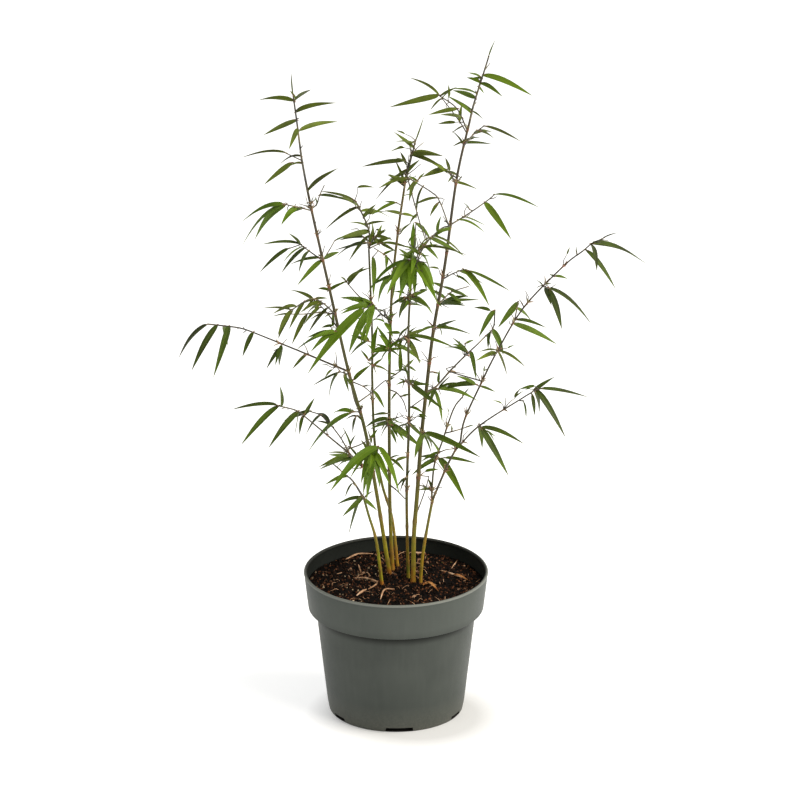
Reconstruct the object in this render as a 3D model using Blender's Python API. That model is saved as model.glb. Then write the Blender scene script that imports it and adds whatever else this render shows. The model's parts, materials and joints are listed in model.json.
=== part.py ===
"""A clumping bamboo in a round five-litre nursery pot, as separate closed solids.

Seven slender canes stand on the soil of the pot. Boughs leave three of them, and every
spray of foliage is one solid: a stem with side twigs and leaves fused on.
The model is in metres with +Z up. Its origin is the centre of the pot's flat underside,
and its front looks towards -Y. The tables below are in millimetres and degrees.
"""

import math
import random
from typing import NamedTuple

import bmesh
import bpy
from mathutils import Vector
from mathutils.bvhtree import BVHTree

MM = 0.001
GAP = 0.3               # clear space between touching solids

# Pot: a thin moulded shell with a wide band under its rim
RIM_RADIUS = 112.5
POT_HEIGHT = 180.0
BAND_HEIGHT = 47.0
BAND_FOOT_RADIUS = 107.0
BODY_TOP_RADIUS = 98.0
BODY_FOOT_RADIUS = 82.4
FOOT_RADIUS = 80.0
WALL = 1.7
FLOOR = 5.5
LIP_ROUND = 0.7
EDGE_ROUND = 0.6        # the band's lower edge, and the corners of its ledge
FOOT_ROUND = 3.0        # the wall curves in over this height above the foot
POT_SIDES = 40
POT_CREASE = math.radians(30)

# Shallow notches in the bottom edge, between the pot's feet
NOTCH_COUNT = 6
NOTCH_WIDTH = 34.0
NOTCH_HEIGHT = 3.8
NOTCH_DEPTH = 7.0
NOTCH_TURN = 2.0        # the front notch stands a little right of the middle
NOTCH_SLOPE = 3.0       # each end leans in by this much
CUT_BELOW = 2.0         # the notch's cutter reaches this far under the pot

SOIL_TOP = 163.0
SOIL_EDGE = 1.0         # its edge is rounded off by this much

# The plant was measured in a front view that looks down by LOOK_DOWN degrees
LOOK_DOWN = 21.6
SIN_DOWN = math.sin(math.radians(LOOK_DOWN))
COS_DOWN = math.cos(math.radians(LOOK_DOWN))
VIEW_RIGHT = Vector((1, 0, 0))
VIEW_UP = Vector((0, SIN_DOWN, COS_DOWN))
VIEW_AWAY = Vector((0, COS_DOWN, -SIN_DOWN))

# Limbs
CANE_SIDES = 8
BOUGH_SIDES = 5
TWIG_SIDES = 3
FLARE = 1.3             # a cane's foot is this much wider than the cane above it
FLARE_HEIGHT = 9.0
FLARE_LEAN = 0.1        # share of the way to its next place that a cane leans by there
LIMB_CREASE = math.radians(50)
RING_SPACING = 34.0     # longest stretch between two rings of a limb
STEM_FOOT = 1.9         # diameters of the stems and twigs of the sprays
STEM_TIP = 1.2
TWIG_LENGTHS = (6.0, 13.0)
TWIG_SHARE = 0.25       # share of the other leaves that sit on a side twig
TWIG_LEAN = 1.5         # a side twig follows its leaf this many times more than its stem
STEM_SHIFT = 6.0        # a stem that is blocked moves in depth by this much more

# Leaves
LEAF_SHAPE = ((0.0, 0.06), (0.3, 1.0), (0.68, 0.66))   # (along, share of the width)
LEAF_ROOT_THICK = 0.5   # share of the thickness at the root
ROOT_SINK = 1.1         # a leaf starts this far back from the end of its twig or stem
LEAF_WIDEST = 11.5
LEAF_SLIMNESS = 0.185   # width over length, up to LEAF_WIDEST
LEAF_THICK = 0.85
LEAF_THINNEST = 85.0    # length over thickness never passes this
LEAF_ARCH = 0.07        # rise of the leaf's middle over its chord, as a share of length
DEPTH_TURNS = (8.0, 44.0)       # how far a leaf points into or out of the view
DEEP_TURNS = (50.0, 68.0)       # the same for the leaves that point mostly fore or aft
DEEP_LENGTHS = (42.0, 62.0)
LEAVES_PER_DEEP = 3
DEEP_PLACES = (0.3, 0.95)       # where they sit, as shares of the stem
DEEP_SPREAD = 40.0      # how far their heading strays from a measured leaf's
LEAF_FACE = Vector((0, -0.65, 0.75))    # the way a leaf's upper side looks
FACE_SPREAD = (0.5, 0.4)        # how much that varies along X and Y
TRIES = 14
RETRY_TURN = 9.0        # a leaf that is blocked turns by this much more at each try
DEEP_RETRY = 2.0        # a deep leaf turns sideways, by this many times as much

# Cleaning of the joined sprays
THINNEST_FACE = 0.002
SHORTEST_EDGE = 0.03    # an edge of a thin face that is shorter is drawn in
SLIVER_ROUNDS = 60

TIP = -1.0              # a limb that goes on from its host's tip
TIP_RUN = 2.5           # it first runs straight on for this far


class Limb(NamedTuple):
    """A cane or bough. Places are (across, up, depth): across and up as they show in the
    front view, from the middle of the soil, and depth is the real distance behind it."""
    name: str
    host: str
    at: float           # up on the host, in the view, or TIP
    places: tuple
    thick: tuple        # diameters at foot and tip


class Spray(NamedTuple):
    """A mass of foliage. Each leaf is (share of the stem, heading, length), with a fourth
    number where it sits on a side twig of that length. Heading and length are as they show
    in the front view, and a heading turns left from the right-hand side."""
    name: str
    host: str
    at: float
    places: tuple
    leaves: tuple


CANES = (
    Limb("cane_tall_left", "soil", 0, (
        (-7, 8, 23), (-24, 112, 22), (-38, 188, 20), (-58, 260, 14),
        (-79, 352, 6), (-98, 436, -2), (-106, 474, -6)), (5.0, 3.0)),
    Limb("cane_back", "soil", 0, (
        (2, 18, 50), (-5, 80, 60), (-17, 120, 70), (-26, 172, 82),
        (-29, 248, 102), (-29, 300, 116), (-33, 405, 138)), (3.8, 2.4)),
    Limb("cane_centre", "soil", 0, (
        (-4, 13, 36), (-7, 77, 40), (-8, 146, 44), (-8, 253, 52),
        (-5, 354, 62), (2, 423, 70), (10, 479, 78)), (4.8, 2.8)),
    Limb("cane_front", "soil", 0, (
        (15, 5, 14), (14, 43, 8), (13, 103, -2), (14, 146, -10),
        (16, 214, -24), (15, 304, -42), (19, 380, -56)), (3.9, 2.6)),
    Limb("cane_tall_right", "soil", 0, (
        (21, 0, -1), (22, 60, 1), (26, 112, 3), (31, 180, 6), (37, 237, 8),
        (45, 305, 9), (59, 386, 8), (73, 489, 2), (89, 560, -5)), (5.8, 2.8)),
    Limb("cane_forked", "soil", 0, (
        (30, -2, -4), (32, 29, -8), (36, 57, -12), (43, 95, -18), (45, 103, -19)), (4.0, 3.4)),
    Limb("cane_short", "soil", 0, (
        (-17, -4, -11), (-24, 52, -22), (-33, 83, -30), (-38, 101, -34)), (4.3, 3.0)),
)

BOUGHS = (
    Limb("fork_right", "cane_forked", TIP, (
        (49, 113, -24), (63, 146, -36), (77, 172, -46)), (3.0, 2.6)),
    Limb("fork_left", "cane_forked", 96, (
        (44, 118, -4), (47, 146, 14), (56, 172, 32), (70, 212, 56), (80, 226, 66)), (2.6, 1.9)),
    Limb("bough_far_right", "fork_right", TIP, (
        (83, 200, -44), (103, 244, -38), (122, 282, -38), (154, 335, -44),
        (201, 384, -60), (224, 402, -68)), (2.5, 1.8)),
    Limb("bough_low_right", "fork_right", 162, (
        (100, 192, -74), (152, 226, -126), (160, 231, -132)), (2.2, 1.7)),
    Limb("bough_right", "cane_tall_right", 233, (
        (49, 240, 24), (66, 259, 54), (86, 279, 88), (98, 290, 106)), (2.6, 1.8)),
    Limb("bough_left", "cane_tall_left", 258, (
        (-89, 271, 28), (-120, 284, 44), (-172, 305, 70)), (2.6, 1.8)),
    Limb("bough_low_left", "cane_tall_left", 134, (
        (-47, 147, 4), (-55, 157, -8), (-82, 180, -44), (-109, 203, -80)), (2.6, 1.8)),
)

SPRAYS = (
    Spray("spray_left_top", "cane_tall_left", TIP, (
        (-113, 513, -12), (-118, 552, -16), (-123, 589, -18)), (
        (0.03, 36, 46), (0.34, 198, 19), (0.33, 217, 43, 14), (0.36, 185, 54, 22),
        (0.67, 15, 48), (0.78, 203, 44), (0.87, 12, 51), (0.97, 177, 43), (1.0, 95, 28))),
    Spray("spray_left_upper", "cane_tall_left", 451, (
        (-119, 455, -28), (-135, 458, -46)), (
        (0.55, 230, 28), (0.9, 227, 57), (1.0, 202, 55), (1.0, 224, 70))),
    Spray("spray_left_middle", "cane_tall_left", 391, (
        (-103, 402, 36), (-116, 412, 60)), (
        (0.05, 227, 43), (0.2, 192, 36), (0.8, 226, 42), (1.0, 137, 20),
        (1.0, 219, 46, 20), (1.0, 180, 47))),
    Spray("spray_left_waist", "cane_tall_left", 327, (
        (-88, 340, -22), (-103, 345, -38), (-126, 331, -58)), (
        (0.25, 231, 39), (0.48, 236, 18), (0.5, 211, 28), (0.78, 241, 39),
        (1.0, 241, 35), (1.0, 176, 34))),
    Spray("spray_left_elbow", "cane_tall_left", 306, (
        (-77, 307, 26), (-80, 307, 36)), (
        (1.0, 196, 30), (0.8, 207, 45))),
    Spray("spray_left_tip", "bough_left", TIP, (
        (-190, 311, 82), (-212, 314, 96), (-230, 316, 106)), (
        (0.04, 246, 33), (0.56, 254, 66), (0.8, 241, 65), (1.0, 229, 55))),
    Spray("spray_left_bough", "bough_left", 292, (
        (-139, 290, 74), (-140, 287, 88)), (
        (1.0, 236, 32), (0.6, 252, 26))),
    Spray("spray_left_bough_foot", "cane_tall_left", 254, (
        (-66, 257, -12), (-69, 257, -26)), (
        (1.0, 248, 33), (0.8, 206, 36))),
    Spray("spray_left_front", "cane_tall_left", 209, (
        (-50, 209, -10), (-54, 208, -26)), (
        (1.0, 222, 69), (0.8, 180, 24))),
    Spray("spray_low_left_tip", "bough_low_left", TIP, (
        (-120, 211, -94), (-143, 217, -116)), (
        (0.05, 61, 25), (0.1, 258, 24), (0.32, 231, 58), (0.93, 226, 66), (1.0, 185, 55))),
    Spray("spray_low_left_side", "bough_low_left", 158, (
        (-69, 180, 18), (-89, 203, 40), (-106, 210, 52)), (
        (0.55, 160, 22), (0.8, 232, 30), (1.0, 200, 34))),
    Spray("spray_low_left_foot", "bough_low_left", 148, (
        (-53, 154, -38), (-56, 155, -52)), (
        (1.0, 175, 26), (0.9, 202, 42))),
    Spray("spray_bright_front", "cane_tall_left", 156, (
        (-29, 164, -14), (-21, 167, -48)), (
        (0.9, 229, 50), (1.0, 252, 59), (1.0, 294, 63), (1.0, 223, 80))),
    Spray("spray_short_top", "cane_short", TIP, (
        (-52, 125, -46), (-64, 135, -54)), (
        (0.1, 195, 33), (0.14, 224, 35), (0.18, 252, 49), (1.0, 140, 22))),
    Spray("spray_back_top", "cane_back", TIP, (
        (-33, 430, 144), (-44, 456, 152), (-51, 467, 156)), (
        (0.1, 20, 30), (0.2, 187, 31, 10), (0.25, 335, 28), (0.3, 231, 41), (0.38, 194, 39),
        (0.45, 165, 24), (0.5, 10, 24), (0.65, 45, 22), (0.85, 214, 50), (1.0, 164, 44))),
    Spray("spray_centre_top", "cane_centre", TIP, (
        (15, 502, 82), (24, 538, 86)), (
        (0.05, 145, 24), (0.4, 224, 54), (0.5, 187, 53, 9), (0.7, 331, 50), (0.74, 354, 37),
        (0.84, 142, 31), (1.0, 71, 32))),
    Spray("spray_centre_waist", "cane_centre", 319, (
        (-18, 328, 30), (-29, 340, 4)), (
        (0.9, 195, 42), (1.0, 260, 47), (1.0, 171, 38), (1.0, 231, 118))),
    Spray("spray_centre_tuft", "cane_centre", 289, (
        (4, 296, 36), (15, 300, 16)), (
        (0.15, 328, 43), (0.9, 45, 18), (1.0, 347, 55))),
    Spray("spray_centre_low", "cane_centre", 193, (
        (-7, 195, 66), (-6, 195, 78)), (
        (1.0, 196, 26), (0.9, 317, 30), (0.7, 235, 22))),
    Spray("spray_front_top", "cane_front", TIP, (
        (20, 391, -58), (21, 404, -61)), (
        (0.4, 300, 34), (0.44, 249, 45), (0.48, 225, 43), (0.48, 265, 40), (0.52, 299, 58),
        (1.0, 90, 33))),
    Spray("spray_front_right", "cane_front", 366, (
        (28, 396, -84), (41, 417, -108)), (
        (0.8, 315, 24), (1.0, 333, 48), (0.6, 150, 20))),
    Spray("spray_front_waist", "cane_front", 346, (
        (13, 346, -72), (12, 346, -84)), (
        (1.0, 336, 27), (0.9, 210, 26), (0.7, 250, 26))),
    Spray("spray_front_low", "cane_front", 242, (
        (18, 242, -54), (19, 241, -66)), (
        (0.8, 0, 22), (1.0, 322, 51))),
    Spray("spray_front_foot", "cane_front", 198, (
        (16, 196, -48), (16, 194, -60)), (
        (1.0, 317, 26), (0.8, 205, 24))),
    Spray("spray_right_top", "cane_tall_right", TIP, (
        (94, 580, -8), (107, 621, -14), (111, 634, -16)), (
        (0.12, 146, 35), (0.67, 159, 18), (0.68, 327, 32), (0.83, 336, 65), (1.0, 66, 26))),
    Spray("spray_right_top_left", "cane_tall_right", 546, (
        (73, 574, 44), (51, 591, 76)), (
        (0.55, 192, 36), (0.95, 27, 22), (1.0, 193, 62), (1.0, 148, 42))),
    Spray("spray_right_shoulder", "cane_tall_right", 528, (
        (92, 540, -44), (105, 550, -68)), (
        (0.8, 335, 22), (0.3, 200, 20), (1.0, 337, 47))),
    Spray("spray_right_upper", "cane_tall_right", 482, (
        (66, 494, 38), (61, 502, 58)), (
        (0.2, 342, 30), (1.0, 196, 32), (0.8, 150, 22))),
    Spray("spray_right_middle", "cane_tall_right", 434, (
        (90, 450, 52), (112, 466, 88), (120, 473, 98)), (
        (0.2, 335, 35), (0.8, 305, 56), (1.0, 343, 56))),
    Spray("spray_right_inner", "cane_tall_right", 430, (
        (52, 462, -40), (42, 472, -62), (16, 487, -92)), (
        (0.45, 237, 20), (0.52, 197, 33), (0.8, 258, 38), (1.0, 182, 26))),
    Spray("spray_right_waist", "cane_tall_right", 369, (
        (68, 375, -40), (81, 380, -72)), (
        (1.0, 305, 55), (1.0, 334, 56, 9))),
    Spray("spray_right_elbow", "cane_tall_right", 338, (
        (54, 340, 40), (56, 341, 54)), (
        (0.9, 357, 28), (1.0, 14, 34), (1.0, 5, 46))),
    Spray("spray_right_low", "cane_tall_right", 308, (
        (47, 310, -32), (48, 310, -46)), (
        (1.0, 350, 44), (0.8, 200, 26))),
    Spray("spray_right_bough", "bough_right", 277, (
        (88, 280, 54), (91, 283, 36)), (
        (0.6, 135, 28), (1.0, 280, 37))),
    Spray("spray_right_bough_tip", "bough_right", TIP, (
        (110, 302, 120), (119, 312, 128), (121, 334, 134)), (
        (0.5, 262, 22), (0.58, 293, 35), (1.0, 240, 39))),
    Spray("spray_right_bough_foot", "cane_tall_right", 226, (
        (46, 236, -26), (52, 237, -42)), (
        (0.7, 284, 42), (1.0, 47, 22), (0.9, 343, 53), (1.0, 9, 36))),
    Spray("spray_far_tip", "bough_far_right", TIP, (
        (235, 411, -72), (247, 416, -76)), (
        (0.12, 307, 59), (0.5, 341, 71), (1.0, 22, 22))),
    Spray("spray_far_middle", "bough_far_right", 360, (
        (182, 357, -82), (183, 357, -96)), (
        (0.9, 288, 52), (1.0, 320, 67))),
    Spray("spray_far_low", "bough_far_right", 314, (
        (143, 320, -14), (148, 343, 6)), (
        (0.2, 335, 60), (0.5, 345, 38), (1.0, 232, 40))),
    Spray("spray_far_foot", "bough_far_right", 278, (
        (121, 282, -62), (122, 283, -76)), (
        (0.9, 184, 22), (1.0, 329, 38), (0.8, 293, 32))),
    Spray("spray_low_right_tip", "bough_low_right", TIP, (
        (166, 235, -140), (173, 237, -147)), (
        (0.1, 278, 26), (0.4, 34, 31), (0.7, 301, 68), (1.0, 350, 58))),
    Spray("spray_low_right", "bough_low_right", 191, (
        (101, 191, -98), (102, 190, -112)), (
        (1.0, 300, 68), (0.9, 339, 57))),
    Spray("spray_fork_left", "fork_left", 150, (
        (52, 152, 36), (59, 153, 52)), (
        (0.2, 205, 22), (0.3, 212, 37), (0.6, 301, 62), (1.0, 350, 40))),
    Spray("spray_centre_right", "cane_tall_right", 182, (
        (34, 184, -28), (35, 184, -44)), (
        (1.0, 336, 75), (0.7, 250, 34))),
)


def clear_scene():
    """Remove what the file opens with."""
    for old in list(bpy.data.objects):
        bpy.data.objects.remove(old)


def finish(name, colour, roughness):
    """A plain surface with this colour and roughness."""
    material = bpy.data.materials.new(name)
    material.use_nodes = True
    shader = material.node_tree.nodes["Principled BSDF"]
    shader.inputs["Base Color"].default_value = (*colour, 1.0)
    shader.inputs["Roughness"].default_value = roughness
    shader.inputs["Metallic"].default_value = 0.0
    return material


def add_object(name, mesh, material):
    """Put a mesh in the scene under its sub-part's name."""
    mesh.materials.clear()
    mesh.materials.append(material)
    thing = bpy.data.objects.new(name, mesh)
    bpy.context.scene.collection.objects.link(thing)
    return thing


def mesh_of(verts, faces):
    """A mesh from points in metres and faces that look outwards."""
    mesh = bpy.data.meshes.new("shape")
    mesh.from_pydata(verts, [], faces)
    return mesh


def triangle_mesh(verts, faces):
    """The same with every face cut into triangles."""
    mesh = mesh_of(verts, faces)
    shape = bmesh.new()
    shape.from_mesh(mesh)
    bmesh.ops.triangulate(shape, faces=shape.faces)
    shape.to_mesh(mesh)
    shape.free()
    return mesh


def seen(across, up, depth):
    """The point that shows at (across, up) in the front view and lies at this depth."""
    rise = (up - depth * SIN_DOWN) / COS_DOWN
    return Vector((across, depth, SOIL_TOP + rise)) * MM


def view_up(point):
    """How far up a point shows in the front view, in millimetres."""
    return point.y / MM * SIN_DOWN + (point.z / MM - SOIL_TOP) * COS_DOWN


def smooth_path(places):
    """Points along one smooth curve through the places, no further apart than a ring."""
    ends = [places[0] * 2 - places[1], *places, places[-1] * 2 - places[-2]]
    path = [places[0].copy()]
    for before, start, end, after in zip(ends, ends[1:], ends[2:], ends[3:]):
        steps = max(1, math.ceil((end - start).length / (RING_SPACING * MM)))
        for step in range(1, steps + 1):
            t = step / steps
            path.append(0.5 * (
                2 * start + (end - before) * t
                + (2 * before - 5 * start + 4 * end - after) * t ** 2
                + (3 * start - before - 3 * end + after) * t ** 3))
    return path


def tangents(path):
    """The direction of the path at each of its points."""
    spans = [(b - a).normalized() for a, b in zip(path, path[1:])]
    middle = [(a + b).normalized() for a, b in zip(spans, spans[1:])]
    return [spans[0], *middle, spans[-1]]


def tube(path, radii, sides, foot_way=None):
    """A closed round limb along a path. Its foot is cut square to foot_way, if given."""
    directions = tangents(path)
    if foot_way:
        directions[0] = foot_way
    side = directions[0].orthogonal().normalized()
    verts, faces = [], []
    for point, along, radius in zip(path, directions, radii):
        side = (side - along * side.dot(along)).normalized()
        other = along.cross(side)
        for k in range(sides):
            turn = 2 * math.pi * k / sides
            verts.append(point + (side * math.cos(turn) + other * math.sin(turn)) * radius)
    for ring in range(len(path) - 1):
        base = ring * sides
        for k in range(sides):
            after = (k + 1) % sides
            faces.append((base + k, base + after, base + sides + after, base + sides + k))
    last = (len(path) - 1) * sides
    faces.append(tuple(reversed(range(sides))))
    faces.append(tuple(last + k for k in range(sides)))
    return verts, faces


def leaf(root, chord, normal, width, thick):
    """A lance-shaped leaf with a ridge on both faces, arched over its chord."""
    length = chord.length
    along = chord / length
    across = normal.cross(along).normalized()
    normal = along.cross(across)
    verts = []
    for part, share in LEAF_SHAPE:
        middle = root + chord * part + normal * (4 * part * (1 - part) * LEAF_ARCH * length)
        half = across * (width * share / 2)
        ridge = normal * (thick / 2 * max(share, LEAF_ROOT_THICK))
        verts += [middle + half, middle + ridge, middle - half, middle - ridge]
    verts.append(root + chord)
    faces = [(3, 2, 1, 0)]
    for ring in range(len(LEAF_SHAPE) - 1):
        base = ring * 4
        for k in range(4):
            after = (k + 1) % 4
            faces.append((base + k, base + after, base + 4 + after, base + 4 + k))
    base = (len(LEAF_SHAPE) - 1) * 4
    for k in range(4):
        faces.append((base + k, base + (k + 1) % 4, base + 4))
    return verts, faces


class Space:
    """The shapes that are already placed, each with its owner, to keep others clear."""

    def __init__(self):
        self.shapes = []

    def add(self, owner, verts, faces):
        low = Vector([min(v[i] for v in verts) for i in range(3)])
        high = Vector([max(v[i] for v in verts) for i in range(3)])
        self.shapes.append((owner, low, high, BVHTree.FromPolygons(verts, faces)))

    def blocked(self, owner, verts, faces):
        """Whether this shape meets one of another owner's."""
        low = Vector([min(v[i] for v in verts) for i in range(3)])
        high = Vector([max(v[i] for v in verts) for i in range(3)])
        tree = None
        for other, floor, roof, placed in self.shapes:
            if other == owner:
                continue
            if any(low[i] > roof[i] or high[i] < floor[i] for i in range(3)):
                continue
            tree = tree or BVHTree.FromPolygons(verts, faces)
            if tree.overlap(placed):
                return True
        return False


def taper(path, thick, flare=False):
    """The radius at each point of a limb, even from foot to tip, with a wider foot."""
    lengths = [0.0]
    for a, b in zip(path, path[1:]):
        lengths.append(lengths[-1] + (b - a).length)
    radii = []
    for length in lengths:
        radius = (thick[0] + (thick[1] - thick[0]) * length / lengths[-1]) / 2 * MM
        if flare and length < FLARE_HEIGHT * MM:
            radius *= FLARE + (1 - FLARE) * length / (FLARE_HEIGHT * MM)
        radii.append(radius)
    return radii


def leave_host(host, at, first, radius):
    """The first places of a limb or stem, clear of its host by the gap, and its foot's way."""
    path, radii = host
    if at == TIP:
        onward = (path[-1] - path[-2]).normalized()
        start = path[-1] + onward * GAP * MM
        return [start, start + onward * TIP_RUN * MM], onward
    for a, b, thick in zip(path, path[1:], radii):
        if view_up(b) >= at:
            break
    share = (at - view_up(a)) / (view_up(b) - view_up(a))
    axis_point = a.lerp(b, min(max(share, 0.0), 1.0))
    axis = (b - a).normalized()
    away = (first - axis_point).normalized()
    cos_off = abs(axis.dot(away))
    sin_off = math.sqrt(1 - cos_off ** 2)
    return [axis_point + away * (thick + GAP * MM + radius * cos_off) / sin_off], None


def grow_limbs(space):
    """Paths and radii of all canes and boughs, by name, and their shapes."""
    limbs, shapes = {}, {}
    for limb in CANES + BOUGHS:
        places = [seen(*place) for place in limb.places]
        standing = limb.host == "soil"
        if standing:
            foot_way = Vector((0, 0, 1))
            places[0].z = (SOIL_TOP + GAP) * MM
            places.insert(1, places[0].lerp(places[1], FLARE_LEAN))
            places[1].z = places[0].z + FLARE_HEIGHT * MM
        else:
            start, foot_way = leave_host(
                limbs[limb.host], limb.at, places[0], limb.thick[0] / 2 * MM)
            places = start + places
        path = smooth_path(places)
        radii = taper(path, limb.thick, flare=standing)
        limbs[limb.name] = (path, radii)
        sides = CANE_SIDES if standing else BOUGH_SIDES
        shapes[limb.name] = tube(path, radii, sides, foot_way)
        if space.blocked(limb.name, *shapes[limb.name]):
            raise ValueError(limb.name + " meets another limb")
        space.add(limb.name, *shapes[limb.name])
    return limbs, shapes


def grow_stem(spray, limbs, space):
    """The path and shape of a spray's stem, moved in depth until it is clear."""
    for tried in range(TRIES):
        shift = STEM_SHIFT * (tried // 2) * (1 if tried % 2 else -1)
        places = [seen(a, u, d + shift * k / len(spray.places))
                  for k, (a, u, d) in enumerate(spray.places, 1)]
        foot = STEM_FOOT
        if spray.at == TIP:
            foot = limbs[spray.host][1][-1] * 2 / MM
        start, foot_way = leave_host(limbs[spray.host], spray.at, places[0], foot / 2 * MM)
        path = smooth_path(start + places)
        radii = taper(path, (foot, STEM_TIP))
        shape = tube(path, radii, TWIG_SIDES, foot_way)
        if not space.blocked(spray.name, *shape):
            space.add(spray.name, *shape)
            return path, shape
    raise ValueError(spray.name + " finds no room for its stem")


def point_along(path, share):
    """The point at a share of the path's length, just short of its end, and its direction."""
    spans = [(b - a).length for a, b in zip(path, path[1:])]
    left = min(share * sum(spans), sum(spans) - ROOT_SINK * MM)
    for a, b, span in zip(path, path[1:], spans):
        if left <= span:
            return a.lerp(b, left / span), (b - a).normalized()
        left -= span


def leaf_chord(heading, length, depth_turn):
    """The leaf's line from root to tip: its view length at a heading, turned in depth."""
    angle = math.radians(heading)
    flat = VIEW_RIGHT * math.cos(angle) + VIEW_UP * math.sin(angle)
    return (flat + VIEW_AWAY * math.tan(math.radians(depth_turn))) * length * MM


def leaf_plan(spray, rng):
    """Every leaf of a spray: its place along the stem, heading, view length, turn in
    depth and the length of its side twig, if it has one."""
    plan = []
    for share, heading, length, *twig in spray.leaves:
        turn = rng.uniform(*DEPTH_TURNS) * rng.choice((-1, 1))
        if not twig and rng.random() < TWIG_SHARE:
            twig = [rng.uniform(*TWIG_LENGTHS)]
        plan.append((share, heading, length, turn, twig))
    first_way = rng.choice((-1, 1))
    for k in range(round(len(spray.leaves) / LEAVES_PER_DEEP)):
        turn = rng.uniform(*DEEP_TURNS) * first_way * (-1) ** k
        flat_length = rng.uniform(*DEEP_LENGTHS) * math.cos(math.radians(turn))
        heading = spray.leaves[k][1] + rng.uniform(-DEEP_SPREAD, DEEP_SPREAD)
        plan.append((rng.uniform(*DEEP_PLACES), heading, flat_length, turn, []))
    return plan


def grow_leaves(spray, path, space):
    """The side twigs and leaves of a spray that are clear of everything else."""
    rng = random.Random(spray.name)
    shapes = []
    for share, heading, length, turn, twig_lengths in leaf_plan(spray, rng):
        strays = [rng.uniform(-spread, spread) for spread in FACE_SPREAD]
        tilt = LEAF_FACE + Vector((*strays, 0))
        start, along = point_along(path, share)
        for tried in range(TRIES):
            offset = RETRY_TURN * ((tried + 1) // 2) * (-1) ** tried
            if abs(turn) < DEEP_TURNS[0]:
                steepest = DEPTH_TURNS[1]
                chord = leaf_chord(heading, length, max(-steepest, min(steepest, turn + offset)))
            else:
                chord = leaf_chord(heading + offset * DEEP_RETRY, length, turn)
            real = chord.length
            width = min(real * LEAF_SLIMNESS, LEAF_WIDEST * MM)
            thick = max(LEAF_THICK * MM, real / LEAF_THINNEST)
            root, twig = start, None
            for twig_length in twig_lengths:
                way = (along + chord / real * TWIG_LEAN).normalized()
                end = start + way * twig_length * MM
                root = end - way * ROOT_SINK * MM
                twig = tube([start, end], [STEM_TIP / 2 * MM] * 2, TWIG_SIDES)
            normal = tilt - chord * tilt.dot(chord) / real ** 2
            swollen = leaf(root, chord * (1 + 2 * GAP * MM / real), normal,
                           width + 4 * GAP * MM, thick + 2 * GAP * MM)
            if space.blocked(spray.name, *swollen):
                continue
            if twig and space.blocked(
                    spray.name, *tube([start, end], [(STEM_TIP / 2 + GAP) * MM] * 2, TWIG_SIDES)):
                continue
            blade = leaf(root, chord, normal, width, thick)
            for shape in (twig, blade):
                if shape:
                    space.add(spray.name, *shape)
                    shapes.append(shape)
            break
    return shapes


def bodies_of(shape):
    """The separate bodies of a mesh, as sets of faces, the largest last."""
    left = set(shape.faces)
    bodies = []
    while left:
        body, reached = set(), [left.pop()]
        while reached:
            face = reached.pop()
            body.add(face)
            for edge in face.edges:
                for other in edge.link_faces:
                    if other in left:
                        left.remove(other)
                        reached.append(other)
        bodies.append(body)
    return sorted(bodies, key=len)


def thickness_of(face):
    """How thin a triangle is: its height over its longest edge."""
    return 2 * face.calc_area() / max(edge.calc_length() for edge in face.edges)


def collapse(shape, edge):
    """Draw a short edge in to one point, where that keeps the body closed."""
    start, end = edge.verts
    near_start = {e.other_vert(start) for e in start.link_edges}
    near_end = {e.other_vert(end) for e in end.link_edges}
    if len(near_start & near_end) != 2:
        return False
    middle = (start.co + end.co) / 2
    bmesh.ops.pointmerge(shape, verts=[start, end], merge_co=middle)
    return True


def flip(shape, edge):
    """Turn the edge between two triangles to their other diagonal, where it is free."""
    corners = [v for face in edge.link_faces for v in face.verts if v not in edge.verts]
    if any(e.other_vert(corners[0]) is corners[1] for e in corners[0].link_edges):
        return False
    return bool(bmesh.ops.rotate_edges(shape, edges=[edge], use_ccw=False)["edges"])


def remove_slivers(shape):
    """Draw in or flip the triangles that are too thin to be real faces."""
    for _ in range(SLIVER_ROUNDS):
        thin = [face for face in shape.faces if thickness_of(face) < THINNEST_FACE * MM]
        if not thin:
            return
        edges = sorted(thin[0].edges, key=lambda edge: edge.calc_length())
        if edges[0].calc_length() < SHORTEST_EDGE * MM and collapse(shape, edges[0]):
            continue
        if not flip(shape, edges[-1]):
            return


def main_body(mesh):
    """Keep the largest closed body of a mesh. Sealed hollows and loose scraps go."""
    shape = bmesh.new()
    shape.from_mesh(mesh)
    bmesh.ops.triangulate(shape, faces=shape.faces)
    for body in bodies_of(shape)[:-1]:
        bmesh.ops.delete(shape, geom=list(body), context="FACES")
    remove_slivers(shape)
    shape.to_mesh(mesh)
    shape.free()
    return mesh


def fuse(shapes):
    """One closed mesh from shapes that run into each other."""
    group = bpy.data.collections.new("to join")
    bpy.context.scene.collection.children.link(group)
    things = [bpy.data.objects.new("piece", triangle_mesh(*shape)) for shape in shapes]
    bpy.context.scene.collection.objects.link(things[0])
    for thing in things[1:]:
        group.objects.link(thing)
    join = things[0].modifiers.new("join", "BOOLEAN")
    join.operation = "UNION"
    join.operand_type = "COLLECTION"
    join.collection = group
    join.solver = "EXACT"
    depsgraph = bpy.context.evaluated_depsgraph_get()
    mesh = bpy.data.meshes.new_from_object(things[0].evaluated_get(depsgraph))
    for thing in things:
        bpy.data.objects.remove(thing)
    bpy.data.collections.remove(group)
    return main_body(mesh)


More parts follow.
